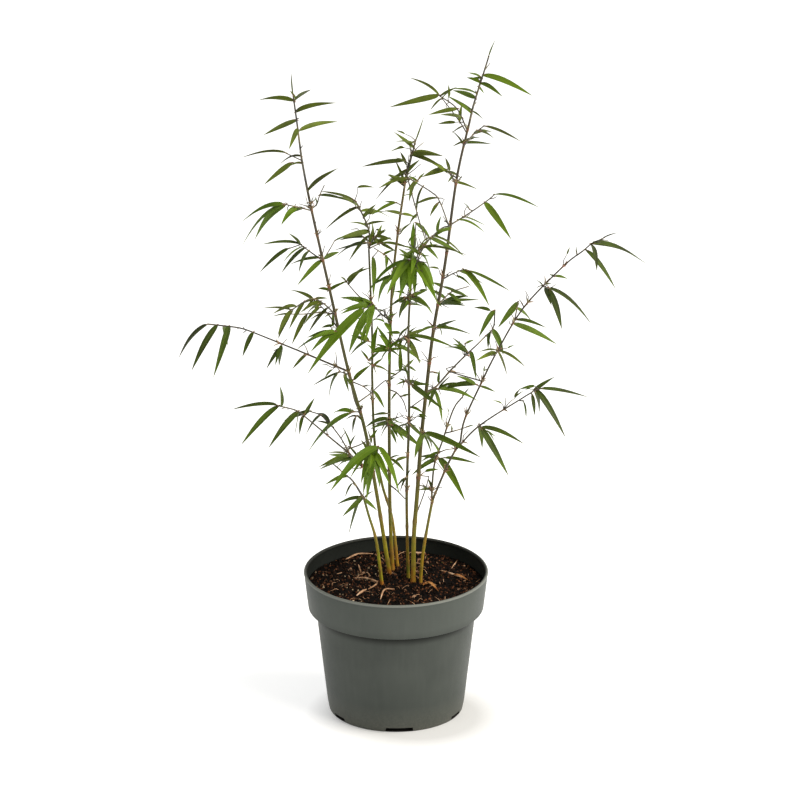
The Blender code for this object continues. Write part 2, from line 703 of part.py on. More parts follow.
def turned(profile, sides):
    """A closed solid of revolution from (radius, height) points, bottom centre first."""
    verts, faces = [], []
    rings = []
    for radius, height in profile:
        if radius == 0:
            rings.append([len(verts)] * sides)
            verts.append(Vector((0, 0, height)) * MM)
            continue
        rings.append(list(range(len(verts), len(verts) + sides)))
        for k in range(sides):
            turn = 2 * math.pi * (k + 0.5) / sides
            verts.append(Vector((radius * math.cos(turn), radius * math.sin(turn), height)) * MM)
    for lower, upper in zip(rings, rings[1:]):
        for k in range(sides):
            after = (k + 1) % sides
            corners = (lower[k], lower[after], upper[after], upper[k])
            faces.append(tuple(dict.fromkeys(corners)))
    return verts, faces


def wall_radius(height):
    """The pot's outer radius at a height, along its body or its band."""
    band_foot = POT_HEIGHT - BAND_HEIGHT
    if height >= band_foot:
        share = (height - band_foot) / BAND_HEIGHT
        return BAND_FOOT_RADIUS + (RIM_RADIUS - BAND_FOOT_RADIUS) * share
    return BODY_FOOT_RADIUS + (BODY_TOP_RADIUS - BODY_FOOT_RADIUS) * height / band_foot


def pot_inside(clearance):
    """The inner side of the pot's wall from the floor up, this far clear of it."""
    inset = WALL + clearance
    ledge = POT_HEIGHT - BAND_HEIGHT + WALL + clearance
    floor = FLOOR + clearance
    return [(wall_radius(floor) - inset, floor),
            (BODY_TOP_RADIUS - inset, ledge),
            (wall_radius(ledge) - inset, ledge + EDGE_ROUND)]


def make_pot(material):
    """The pot: a thin shell with a stepped-out band, a round lip and notches at its foot."""
    band_foot = POT_HEIGHT - BAND_HEIGHT
    wall_foot = wall_radius(FOOT_ROUND)
    outside = [(0, 0), (FOOT_RADIUS, 0),
               ((FOOT_RADIUS + wall_foot) / 2, FOOT_ROUND / 4), (wall_foot, FOOT_ROUND),
               (BODY_TOP_RADIUS, band_foot - EDGE_ROUND), (BODY_TOP_RADIUS + EDGE_ROUND, band_foot),
               (BAND_FOOT_RADIUS - EDGE_ROUND, band_foot), (BAND_FOOT_RADIUS, band_foot + EDGE_ROUND),
               (RIM_RADIUS, POT_HEIGHT - LIP_ROUND), (RIM_RADIUS - LIP_ROUND, POT_HEIGHT)]
    top_inside = RIM_RADIUS - WALL
    inside = [(top_inside + LIP_ROUND / 2, POT_HEIGHT), (top_inside, POT_HEIGHT - LIP_ROUND / 2)]
    inside += reversed(pot_inside(0.0))
    inside.append((0, FLOOR))
    pot = add_object("pot", mesh_of(*turned(outside + inside, POT_SIDES)), material)
    cutter = notch_cutter()
    cut = pot.modifiers.new("notches", "BOOLEAN")
    cut.operation = "DIFFERENCE"
    cut.object = cutter
    cut.solver = "EXACT"
    pot.data.shade_smooth()
    pot.data.set_sharp_from_angle(angle=POT_CREASE)


def notch_cutter():
    """Six blocks round the pot's foot, which cut its notches."""
    verts, faces = [], []
    inner = FOOT_RADIUS - NOTCH_DEPTH
    outer = FOOT_RADIUS + NOTCH_DEPTH
    for k in range(NOTCH_COUNT):
        turn = math.radians(-90 + NOTCH_TURN + 360 / NOTCH_COUNT * k)
        out = Vector((math.cos(turn), math.sin(turn), 0))
        side = Vector((-math.sin(turn), math.cos(turn), 0))
        base = len(verts)
        for height, half in ((-CUT_BELOW, NOTCH_WIDTH / 2),
                             (NOTCH_HEIGHT, NOTCH_WIDTH / 2 - NOTCH_SLOPE)):
            for reach, way in ((inner, -1), (outer, -1), (outer, 1), (inner, 1)):
                verts.append((out * reach + side * way * half + Vector((0, 0, height))) * MM)
        for block in ((3, 2, 1, 0), (4, 5, 6, 7), (0, 1, 5, 4), (1, 2, 6, 5), (2, 3, 7, 6),
                      (3, 0, 4, 7)):
            faces.append(tuple(base + corner for corner in block))
    cutter = bpy.data.objects.new("notch_cutter", mesh_of(verts, faces))
    bpy.context.scene.collection.objects.link(cutter)
    cutter.hide_render = True
    cutter.display_type = "WIRE"
    return cutter


def make_soil(material):
    """The soil that fills the pot, with a level top."""
    profile = [(0, FLOOR + GAP), *pot_inside(GAP)]
    edge_radius = wall_radius(SOIL_TOP) - WALL - GAP
    profile += [(edge_radius, SOIL_TOP - SOIL_EDGE), (edge_radius - SOIL_EDGE, SOIL_TOP),
                (0, SOIL_TOP)]
    soil = add_object("soil", mesh_of(*turned(profile, POT_SIDES)), material)
    soil.data.shade_smooth()
    soil.data.set_sharp_from_angle(angle=POT_CREASE)


def make_plant(bark, leaf_green):
    """Canes, boughs and sprays, each its own solid."""
    space = Space()
    limbs, limb_shapes = grow_limbs(space)
    stems = {spray.name: grow_stem(spray, limbs, space) for spray in SPRAYS}
    for name, shape in limb_shapes.items():
        limb = add_object(name, mesh_of(*shape), bark)
        limb.data.shade_smooth()
        limb.data.set_sharp_from_angle(angle=LIMB_CREASE)
    for spray in SPRAYS:
        path, stem = stems[spray.name]
        leaves = grow_leaves(spray, path, space)
        add_object(spray.name, fuse([stem, *leaves]), leaf_green)


def build():
    """The whole plant in its pot."""
    clear_scene()
    make_pot(finish("grey_green_plastic", (0.09, 0.1, 0.085), 0.45))
    make_soil(finish("potting_soil", (0.035, 0.022, 0.016), 0.95))
    make_plant(finish("cane_bark", (0.3, 0.24, 0.06), 0.5),
               finish("leaf_green", (0.1, 0.21, 0.02), 0.5))


build()
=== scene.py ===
"""The looks of a clumping bamboo in a round nursery pot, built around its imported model.

Canes, boughs and sprays grow by the same rule and from the same measured places as the
solids that they replace, and go on to finer twigs, sheaths and small leaves.
Places and sizes are in millimetres and degrees; the scene itself is in metres, +Z up.
"""

import json
import math
import random
from typing import NamedTuple

import bmesh
import bpy
import numpy as np
from mathutils import Matrix, Vector, noise
from mathutils.bvhtree import BVHTree

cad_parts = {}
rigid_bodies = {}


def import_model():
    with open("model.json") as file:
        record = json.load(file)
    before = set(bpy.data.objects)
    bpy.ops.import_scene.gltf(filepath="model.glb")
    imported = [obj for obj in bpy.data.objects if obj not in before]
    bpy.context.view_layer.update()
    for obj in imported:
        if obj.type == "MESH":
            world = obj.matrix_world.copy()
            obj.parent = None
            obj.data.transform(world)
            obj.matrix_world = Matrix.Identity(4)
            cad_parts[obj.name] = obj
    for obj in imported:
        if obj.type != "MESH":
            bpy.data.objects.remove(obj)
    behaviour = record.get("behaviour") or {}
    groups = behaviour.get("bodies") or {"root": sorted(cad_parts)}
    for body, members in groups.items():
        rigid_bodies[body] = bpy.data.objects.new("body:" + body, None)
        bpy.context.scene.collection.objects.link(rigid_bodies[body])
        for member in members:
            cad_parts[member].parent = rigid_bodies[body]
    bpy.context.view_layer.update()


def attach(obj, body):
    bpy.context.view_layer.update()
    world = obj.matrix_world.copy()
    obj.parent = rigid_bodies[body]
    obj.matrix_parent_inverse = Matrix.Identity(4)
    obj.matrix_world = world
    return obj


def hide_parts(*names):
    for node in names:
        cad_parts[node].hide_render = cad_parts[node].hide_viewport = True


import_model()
BODY = "root"

MM = 0.001

# Pot: a thin moulded shell with a wide band under its rim, on a notched foot ring
RIM_RADIUS = 112.5
POT_HEIGHT = 180.0
BAND_HEIGHT = 47.0
BAND_FOOT_RADIUS = 107.0
BODY_TOP_RADIUS = 98.0
BODY_FOOT_RADIUS = 82.4
FOOT_RADIUS = 80.0
WALL = 1.7
FLOOR = 5.5
POT_SIDES = 160
LIP_BEAD = 1.9          # radius of the round bead that the wall ends in
LIP_GROOVE = 0.8        # depth of the groove under it
SKIRT = 9.0             # the band hangs free of the body over its lowest part
FOOT_RING = 9.0         # width of the ring that the pot stands on
FOOT_HOLLOW = 4.6       # height of the hollow inside that ring
CREASE_SHADE = (15.0, 3.4)     # painted shade on the body under the band: none to full, this far under its edge
DUST_TOP = 34.0         # dust lies on the body up to this height
NOTCH_COUNT = 6
NOTCH_WIDTHS = (35.0, 23.0)     # the front one's and the next one's, by turns
NOTCH_HEIGHT = 5.6
NOTCH_TURN = 2.9
NOTCH_SLOPE = 1.2
POT_CREASE = math.radians(35)

# Soil
SOIL_TOP = 163.0
SOIL_GAP = 0.4          # between the soil and the wall
SOIL_RINGS = 64
SOIL_SPOKES = 150
SOIL_MOUND = 2.2        # rise of the middle, round the canes' feet
SOIL_LUMPS = ((26.0, 1.5), (9.0, 1.6), (4.2, 1.1))      # size and height of its lumps
FOOT_SUNK = 6.0         # the canes go on under the soil's top by this much

# The plant was measured in a front view that looks down by LOOK_DOWN degrees
LOOK_DOWN = 21.6
SIN_DOWN = math.sin(math.radians(LOOK_DOWN))
COS_DOWN = math.cos(math.radians(LOOK_DOWN))
VIEW_RIGHT = Vector((1, 0, 0))
VIEW_UP = Vector((0, SIN_DOWN, COS_DOWN))
VIEW_AWAY = Vector((0, COS_DOWN, -SIN_DOWN))
UP = Vector((0, 0, 1))

# Camera: far off with a long lens, which keeps the canes and the pot's sides as straight
VIEW_MIDDLE = (4.9, 223.4)      # the picture's middle, from the middle of the soil
VIEW_SPAN = 976.5               # width of the picture at the pot
CAMERA_DISTANCE = 12000.0
SENSOR = 36.0

# Limbs
CANE_SIDES = 16
CANE_STEP = 2.5         # spacing of a cane's rings
BOUGH_SIDES = 10
TWIG_SIDES = 6
PATH_STEP = 5.0         # spacing of points along boughs and stems
FLARE = 1.3             # a cane is this much thicker where it leaves the soil
FLARE_HEIGHT = 9.0      # and loses that over this height,
FLARE_LEAN = 0.1        # in which it has this share of its first lean
JOINT_SPACING = 62.0    # longest stretch of cane between two joints
JOINT_MERGE = 16.0      # branches closer together than this share a joint
FIRST_JOINT = 30.0      # height of a cane's lowest joint over the soil
FIRST_BOUGH_JOINT = 0.12        # a bough's lowest joint, as a share of its length
JOINT_SWELL = 0.16      # a cane is this much thicker at its joints
JOINT_REACH = 3.2       # and swells over this far to each side
GROOVE = 0.1            # depth of the groove over a joint, as a share of the radius
GROOVE_WIDTH = 0.9      # its half-width as an angle, in radians
STEM_THICK = (2.1, 1.45)        # of a spray's stem, at its foot and its end
FINE_STEM = (1.9, 1.3)          # of a fine spray's
TOP_STEM_TIP = 1.9      # of the end of a stem that goes on from a limb's tip
TIP = -1.0              # stands for the host's tip where something leaves it
TIP_RUN = 2.5           # what goes on from a tip keeps its way for this far
ROOT_SINK = 1.1         # what grows starts this deep in what it grows from
TWIG_SHARE = 0.25       # of the leaves have a side twig of this length
TWIG_LENGTHS = (1.5, 3.5)
TWIG_LEAN = 1.5         # how far it turns from the stem to its leaf

# Leaves
LEAF_SLIMNESS = {"deep": 0.14, "olive": 0.145, "mid": 0.158, "bright": 0.185}
LEAF_USUAL = 45.0       # a leaf of this length is as slim as its tone's; short ones are plumper
LEAF_PLUMPEST = 0.24    # most width of a leaf, as a share of its length
LEAF_WIDEST = 11.5      # and in millimetres
LEAF_BREADTHS = (0.88, 1.12)    # a leaf is this much wider or narrower than its tone's others
LEAF_THICK = 0.32
ROLLED_LENGTH = 33.0    # a shorter leaf that ends a limb is young and still rolled up
ROLLED_WIDTH = 0.42     # to this share of its breadth
DEPTH_TURNS = (8.0, 44.0)       # a leaf turns towards the viewer or away by this much
DEEP_TURNS = (50.0, 68.0)       # and the further leaves of a mass by this much
LEAVES_PER_DEEP = 3     # one of those to so many leaves
DEEP_LENGTHS = (42.0, 62.0)
DEEP_PLACES = (0.3, 0.95)       # where on the stem they sit
DEEP_SPREAD = 40.0      # how far their heading strays from another leaf's
STEEPEST = 75.0         # most that any leaf turns towards the viewer or away
LEAF_TRIES = 9          # a leaf that would pass through a limb is turned this often,
RETRY_TURN = 9.0        # by one more of these at a time, to one side and the other
CLEAR_SHARE = 0.06      # but the first part of it may touch what it grows from
TRIED_SLIMNESS = 9.0    # for that it counts as this many times as long as wide
TRIED_WIDEST = 0.4      # and as widest at this share of its length
LEAF_FACE = Vector((0, -0.65, 0.75))    # leaves look up and to the viewer
FACE_SPREAD = (0.5, 0.4)        # and stray from that, across and in depth
BLADE_PLACES = (0.0, 0.025, 0.08, 0.17, 0.28, 0.4, 0.53, 0.66, 0.78, 0.88, 0.95)   # of rings
BLADE_RISE = 0.38       # how fast a blade widens from its root
BLADE_FALL = 1.0        # and narrows to its tip
PETIOLE = 0.035         # half-width of the root, as a share of the blade's width
BLADE_BULGE = 0.09      # each half of a blade is rounded up by this share of its half-width
KEEL = 0.18             # the midrib stands out below by this much, in millimetres
LEAF_ARCHES = (0.0, 0.055)      # rise of a blade's middle over its line, share of length
LEAF_DROOPS = (0.0, 0.055)      # and how far the middle stands up where its tip droops
BRIGHT_DROOPS = (0.03, 0.085)   # the same for the long bright leaves in front
BOW_LEAN = 0.8                  # under 1, the bow is fullest on the root's side
LEAF_TWISTS = (-24.0, 24.0)     # turn of the blade from root to tip
TWIST_MIDDLE = 0.4      # share of the length at which a blade isn't turned
LEAF_FOLDS = (8.0, 24.0)        # each half stands up from flat by this much
LEAF_ROLL = 16.0                # turn of the whole blade about its line, at most
EDGE_ON_TURNS = (46.0, 61.0)    # the face of one that shows its edge looks past the viewer
EDGE_ON_WIDEST = 8.0            # and it is narrower, in millimetres
EDGE_ON_SHARE = 0.25            # of the leaves that no list names show their edge
LEAF_SHADES = (0.25, 1.0)       # from a tone's dark to its light green
EDGE_ON_PAINTED_SHADES = (0.0, 0.45)    # the same, lower, as painted shade where it shows its edge or is rolled up
SPRAY_SHADE = 0.35      # a lighter or darker spray's shade differs by this much
BLADE_CREASE = math.radians(60)

# A blade's ring has eight points: five across its upper side and three underneath
RING_ACROSS = np.array((-1, -0.5, 0, 0.5, 1, 0.5, 0, -0.5))
RING_UNDER = np.array((0, 0, 0, 0, 0, 1, 1, 1))
RING_BULGE = np.array((0, 1, 0, 1, 0, 1, 0, 1)) * BLADE_BULGE
RING_KEEL = np.array((0, 0, 0, 0, 0, 0, 1, 0)) * KEEL * MM

# Finer growth: thin twigs, small leaves and papery sheaths
DENSE_HOSTS = ("cane_back", "cane_centre", "cane_front")
FINER_PLACES = (0.1, 1.0)       # where they leave a stem, as shares of its length
FINER_LEANS = (0.3, 1.0)        # how far a thin twig keeps to the stem's way
FINER_RISE = 0.25               # and turns up
FINER_THICK = (1.4, 1.1, 0.8)   # at its foot, middle and tip
FINER_BEND = 0.5
FINER_LEAVES = (9.0, 24.0)
FINER_STRAYS = ((-0.8, 0.8), (-0.8, 0.8), (-0.9, 0.3))  # of a small leaf from its twig's way
JOINT_TWIG_ODDS = (1, 2, 3, 2)  # for none to three thin twigs at a joint
BARE_FOOT = 95.0        # the canes carry no twigs or sheaths up to this height over the soil
SHEATH_WIDTH = 2.2
SHEATH_THICK = 0.2
SHEATH_FOLD = 48.0
LEAF_SHEATHS = (5.0, 10.0)
SHEATH_CLASP = 0.35     # share of a leaf's sheath that clasps the twig
SHEATH_ALONG = 0.6      # how far it keeps to the twig's way
CANE_SHEATHS = (5.0, 12.0)
SHEATHS_PER_JOINT = (3, 5)
SHEATH_LEANS = (0.3, 0.9)       # how far they stand off the cane
CANE_SHEATH_BREADTH = 1.3       # how much wider they are than a leaf's
SHEATH_RIBS = 7

# Leaf colours: the upper side's dark and light green and the tips' tint, by tone
LEAF_TONES = {
    "deep": ("#363d1c", "#526a18", "#5f6020"),
    "olive": ("#40441e", "#6e7e26", "#6c6828"),
    "mid": ("#3c481a", "#66801a", "#70742a"),
    "bright": ("#48660f", "#6f8c20", "#848c2e"),
}
JOINT_BLOOM = 4.0       # the paler skin at a joint fades over this distance

# One joint's ring, as (radius, height) in cane radii: the scar of the sheath and the ridge
RING_PROFILE = ((0, -0.75), (0.9, -0.75), (1.1, -0.5), (1.22, -0.36), (1.26, -0.22),
                (1.16, -0.1), (1.14, 0.1), (1.22, 0.36), (1.18, 0.6), (1.05, 0.85), (0.9, 1.0),
                (0, 1.0))
RING_SIDES = 16
LOW_RING = 0.92         # the rings on the bare feet are this share of the others' size
RING_SHADE_FOOT = 20.0  # they turn from tan to pink between these heights over the soil
RING_SHADE_TOP = 320.0

# Crumbs strewn on the soil: what they are, how many to the square metre, their smallest and
# largest size, tilt and seed, and their length, breadth and height as shares of that size
STREWN = {
    "peat_crumbs": ("peat_crumb", (105000.0, 1.4, 4.4, math.pi, 3), (1.0, 0.9, 0.7)),
    "peat_clods": ("peat_clod", (5200.0, 3.6, 8.0, math.pi, 14), (1.0, 0.85, 0.7)),
    "bark_chips": ("bark_chip", (30000.0, 1.2, 5.6, 1.2, 8), (1.5, 0.8, 0.35)),
    "pale_crumbs": ("pale_wood_crumb", (3800.0, 1.0, 3.6, math.pi, 21), (1.1, 0.9, 0.8)),
    "moss_crumbs": ("moss_crumb", (2600.0, 1.0, 2.8, math.pi, 5), (1.0, 0.9, 0.6)),
}
CHIP_PATCH = 15.0       # the bark chips lie in patches of this size, with bare soil between
LIES_AT = {
    "bark_chips": lambda place: noise.noise(place / CHIP_PATCH) > 0,
    "pale_crumbs": lambda place: place.x < -20,
    "moss_crumbs": lambda place: place.x > 20 and place.y > 20,
}
CRUMB_SHAPES = 5
CRUMB_LUMPS = (0.7, 1.25)       # how far its corners stand out, as a share
SHADE_SEED = 77         # for each crumb's own shade
FIBRES = 60
FIBRE_LENGTHS = (5.0, 15.0)
FIBRE_THICK = (0.35, 0.8)
FIBRE_BEND = 0.5

# Crumbled plant matter: its dark, middle and light shade, the size of its patches, its
# roughness, and whether each piece has a shade of its own
CRUMBLY = {
    # Moist peat and bark compost: nearly black between the crumbs, brown on their tops
    "moist_compost": ("#040201", "#0c0603", "#1e1108", 4.0, 0.85, False),
    # Moist peat crumbs, dark brown with redder ones among them
    "peat_crumb": ("#080301", "#26140a", "#7c4d31", 3.5, 0.78, True),
    # Clods of wet peat, nearly black, that stand out of the finer crumbs
    "peat_clod": ("#050201", "#160b05", "#3e2415", 4.0, 0.75, True),
    # Composted bark chips, red-brown with a torn, dry face
    "bark_chip": ("#140904", "#4e2c19", "#bc9474", 6.0, 0.82, True),
    # Small crumbs of pale dry wood
    "pale_wood_crumb": ("#8f7a60", "#bda684", "#ddcbaa", 5.0, 0.88, True),
    # Crumbs with a green film of moss on them
    "moss_crumb": ("#333a18", "#5f6b2c", "#8d9548", 5.0, 0.88, True),
    # Dry straws and root fibres: pale pinkish tan, darker in streaks
    "dry_straw": ("#9a7456", "#dcae88", "#f6d8b8", 9.0, 0.7, False),
    # Inner bark, torn to flakes of warm orange-brown
    "orange_bark": ("#85502a", "#b98048", "#dcae74", 6.0, 0.7, False),
}

# Straws that lie on the soil, as (x, y) places from the pot's middle, and their thickness
STRAWS = (
    (((-62, 74), (-47, 92), (-28, 91)), 2.5),
    (((-50, 9), (-37, 6), (-23, -6), (-27, -17), (-34, -27)), 2.4),
    (((-48, -43), (-42, -36), (-36, -28)), 2.9),
    (((-19, -57), (-14, -31), (-2, -27)), 2.2),
    (((55, 34), (68, 26), (86, 11)), 2.4),
    (((68, 44), (75, 71)), 1.6),
    (((24, 60), (30, 58)), 2.0),
    (((18, 97), (36, 95)), 2.2),
    (((-46, 55), (-43, 26)), 1.9),
    (((5, -50), (19, -62), (28, -80)), 0.9),
    (((-80, 20), (-66, 34)), 1.4),
)
FLAKES = (((33, -17), (45, -6), 5.0), ((37, -6), (52, -32), 4.6), ((70, 16), (88, 8), 4.0))

# Colours of the canes from foot to top, and where on their way up each is reached
CANE_SHADE_FOOT = 35.0  # they begin this far over the soil
CANE_SHADE_REACH = 480.0
CANE_SHADE_STRAY = 70.0         # and lie lower by up to this much, in patches
CANE_SHADE_STOPS = (0.0, 0.035, 0.14, 0.3, 0.92)
CANE_SHADES = {
    "cane_tall_left": ("#b47a30", "#aea22c", "#827a20", "#5a5c25", "#433e31"),
    "cane_back": ("#a86a2c", "#ac8628", "#787422", "#525423", "#3b3a2e"),
    "cane_centre": ("#a86a2c", "#ac902c", "#747422", "#545424", "#60542d"),
    "cane_front": ("#987c2c", "#848a2c", "#605e23", "#4c4a24", "#41432a"),
    "cane_tall_right": ("#aa702e", "#b6a02c", "#7c7824", "#524e23", "#433e31"),
    "cane_forked": ("#a86c2c", "#b49a2c", "#7a7626", "#545425", "#484731"),
    "cane_short": ("#b4742e", "#aaa62e", "#7a7c28", "#565a27", "#484b30"),
}
BOUGH_SHADES = ("#6c7030", "#606432", "#555432", "#464434", "#3b3932")

VEINS = 9               # pairs of veins that show across a blade
MIX_A, MIX_B, MIX_OUT = 6, 7, 2     # a Mix node's colour sockets

# Studio
FLOOR_REACH = 9000.0
WORLD_STRENGTH = 0.47
FLOOR_GLOW = 0.62       # painted light: the sheet glows, as a light table would
GLOW_EDGE = (70.0, 140.0)       # painted shadow round the pot: glow from none to full, in millimetres
GLOW_MIDDLE = (28.0, -31.0)     # round this place: off centre, so the painted shadow lies front and right
KEY_PLACE = Vector((2.8, -1.3, 2.8))    # the soft box's place, in metres
KEY_AIM = Vector((0, 0, 0.4))
KEY_SIZE = 3.4
KEY_POWER = 180.0


class Limb(NamedTuple):
    """A cane or bough. Places are (across, up, depth): across and up as they show in the
    front view, from the middle of the soil, and depth is the real distance behind it."""
    name: str
    host: str
    at: float           # up on the host, in the view, or TIP
    places: tuple
    thick: tuple        # diameters at foot and tip


class FinerTwigs(NamedTuple):
    """A kind of short twig: how much stem there is to one, how long they are in millimetres,
    and the odds of none, one or two leaves."""
    spacing: float
    lengths: tuple
    leaf_odds: tuple


class Spray(NamedTuple):
    """A mass of foliage. Each leaf is (share of the stem, heading, length), with a fourth
    number where it sits on a side twig of that length. Heading and length are as they show
    in the front view, and a heading turns left from the right-hand side."""
    name: str
    host: str
    at: float
    places: tuple
    leaves: tuple
    tone: str           # the green of its leaves
    edge_on: tuple = ()         # which of them show their edge in the front view
    shade: float = 0.0          # how much lighter than others of its tone
    breadth: float = 1.0        # how much broader


INNER_TWIGS = FinerTwigs(5.5, (7.0, 22.0), (6, 2, 1))
OUTER_TWIGS = FinerTwigs(32.0, (4.0, 13.0), (8, 1, 0))

CANES = (
    Limb("cane_tall_left", "soil", 0, ((-7, 8, 23), (-24, 112, 22), (-38, 188, 20),
         (-58, 260, 14), (-79, 352, 6), (-98, 436, -2), (-106, 474, -6)), (5.0, 3.0)),
    Limb("cane_back", "soil", 0, ((2, 18, 50), (-5, 80, 60), (-17, 120, 70), (-26, 172, 82),
         (-29, 248, 102), (-29, 300, 116), (-33, 405, 138)), (3.8, 2.4)),
    Limb("cane_centre", "soil", 0, ((-4, 13, 36), (-7, 77, 40), (-8, 146, 44), (-8, 253, 52),
         (-5, 354, 62), (2, 423, 70), (10, 479, 78)), (4.8, 2.8)),
    Limb("cane_front", "soil", 0, ((15, 5, 14), (14, 43, 8), (13, 103, -2), (14, 146, -10),
         (16, 214, -24), (15, 304, -42), (19, 380, -56)), (3.9, 2.6)),
    Limb("cane_tall_right", "soil", 0, ((21, 0, -1), (22, 60, 1), (26, 112, 3), (31, 180, 6),
         (37, 237, 8), (45, 305, 9), (59, 386, 8), (73, 489, 2), (89, 560, -5)), (5.8, 2.8)),
    Limb("cane_forked", "soil", 0, ((30, -2, -4), (32, 29, -8), (36, 57, -12), (43, 95, -18),
         (45, 103, -19)), (4.0, 3.4)),
    Limb("cane_short", "soil", 0, ((-17, -4, -11), (-24, 52, -22), (-33, 83, -30),
         (-38, 101, -34)), (4.3, 3.0)),
)
BOUGHS = (
    Limb("fork_right", "cane_forked", TIP, ((49, 113, -24), (63, 146, -36), (77, 172, -46)),
         (3.0, 2.6)),
    Limb("fork_left", "cane_forked", 96, ((44, 118, -4), (47, 146, 14), (56, 172, 32),
         (70, 212, 56), (80, 226, 66)), (2.6, 1.9)),
    Limb("bough_far_right", "fork_right", TIP, ((83, 200, -44), (103, 244, -38), (122, 282, -38),
         (154, 335, -44), (201, 384, -60), (224, 402, -68)), (2.5, 1.8)),
    Limb("bough_low_right", "fork_right", 162, ((100, 192, -74), (152, 226, -126),
         (160, 231, -132)), (2.2, 1.7)),
    Limb("bough_right", "cane_tall_right", 233, ((49, 240, 24), (66, 259, 54), (86, 279, 88),
         (98, 290, 106)), (2.6, 1.8)),
    Limb("bough_left", "cane_tall_left", 258, ((-89, 271, 28), (-120, 284, 44), (-172, 305, 70)),
         (2.6, 1.8)),
    Limb("bough_low_left", "cane_tall_left", 134, ((-47, 147, 4), (-55, 157, -8),
         (-82, 180, -44), (-109, 203, -80)), (2.6, 1.8)),
)

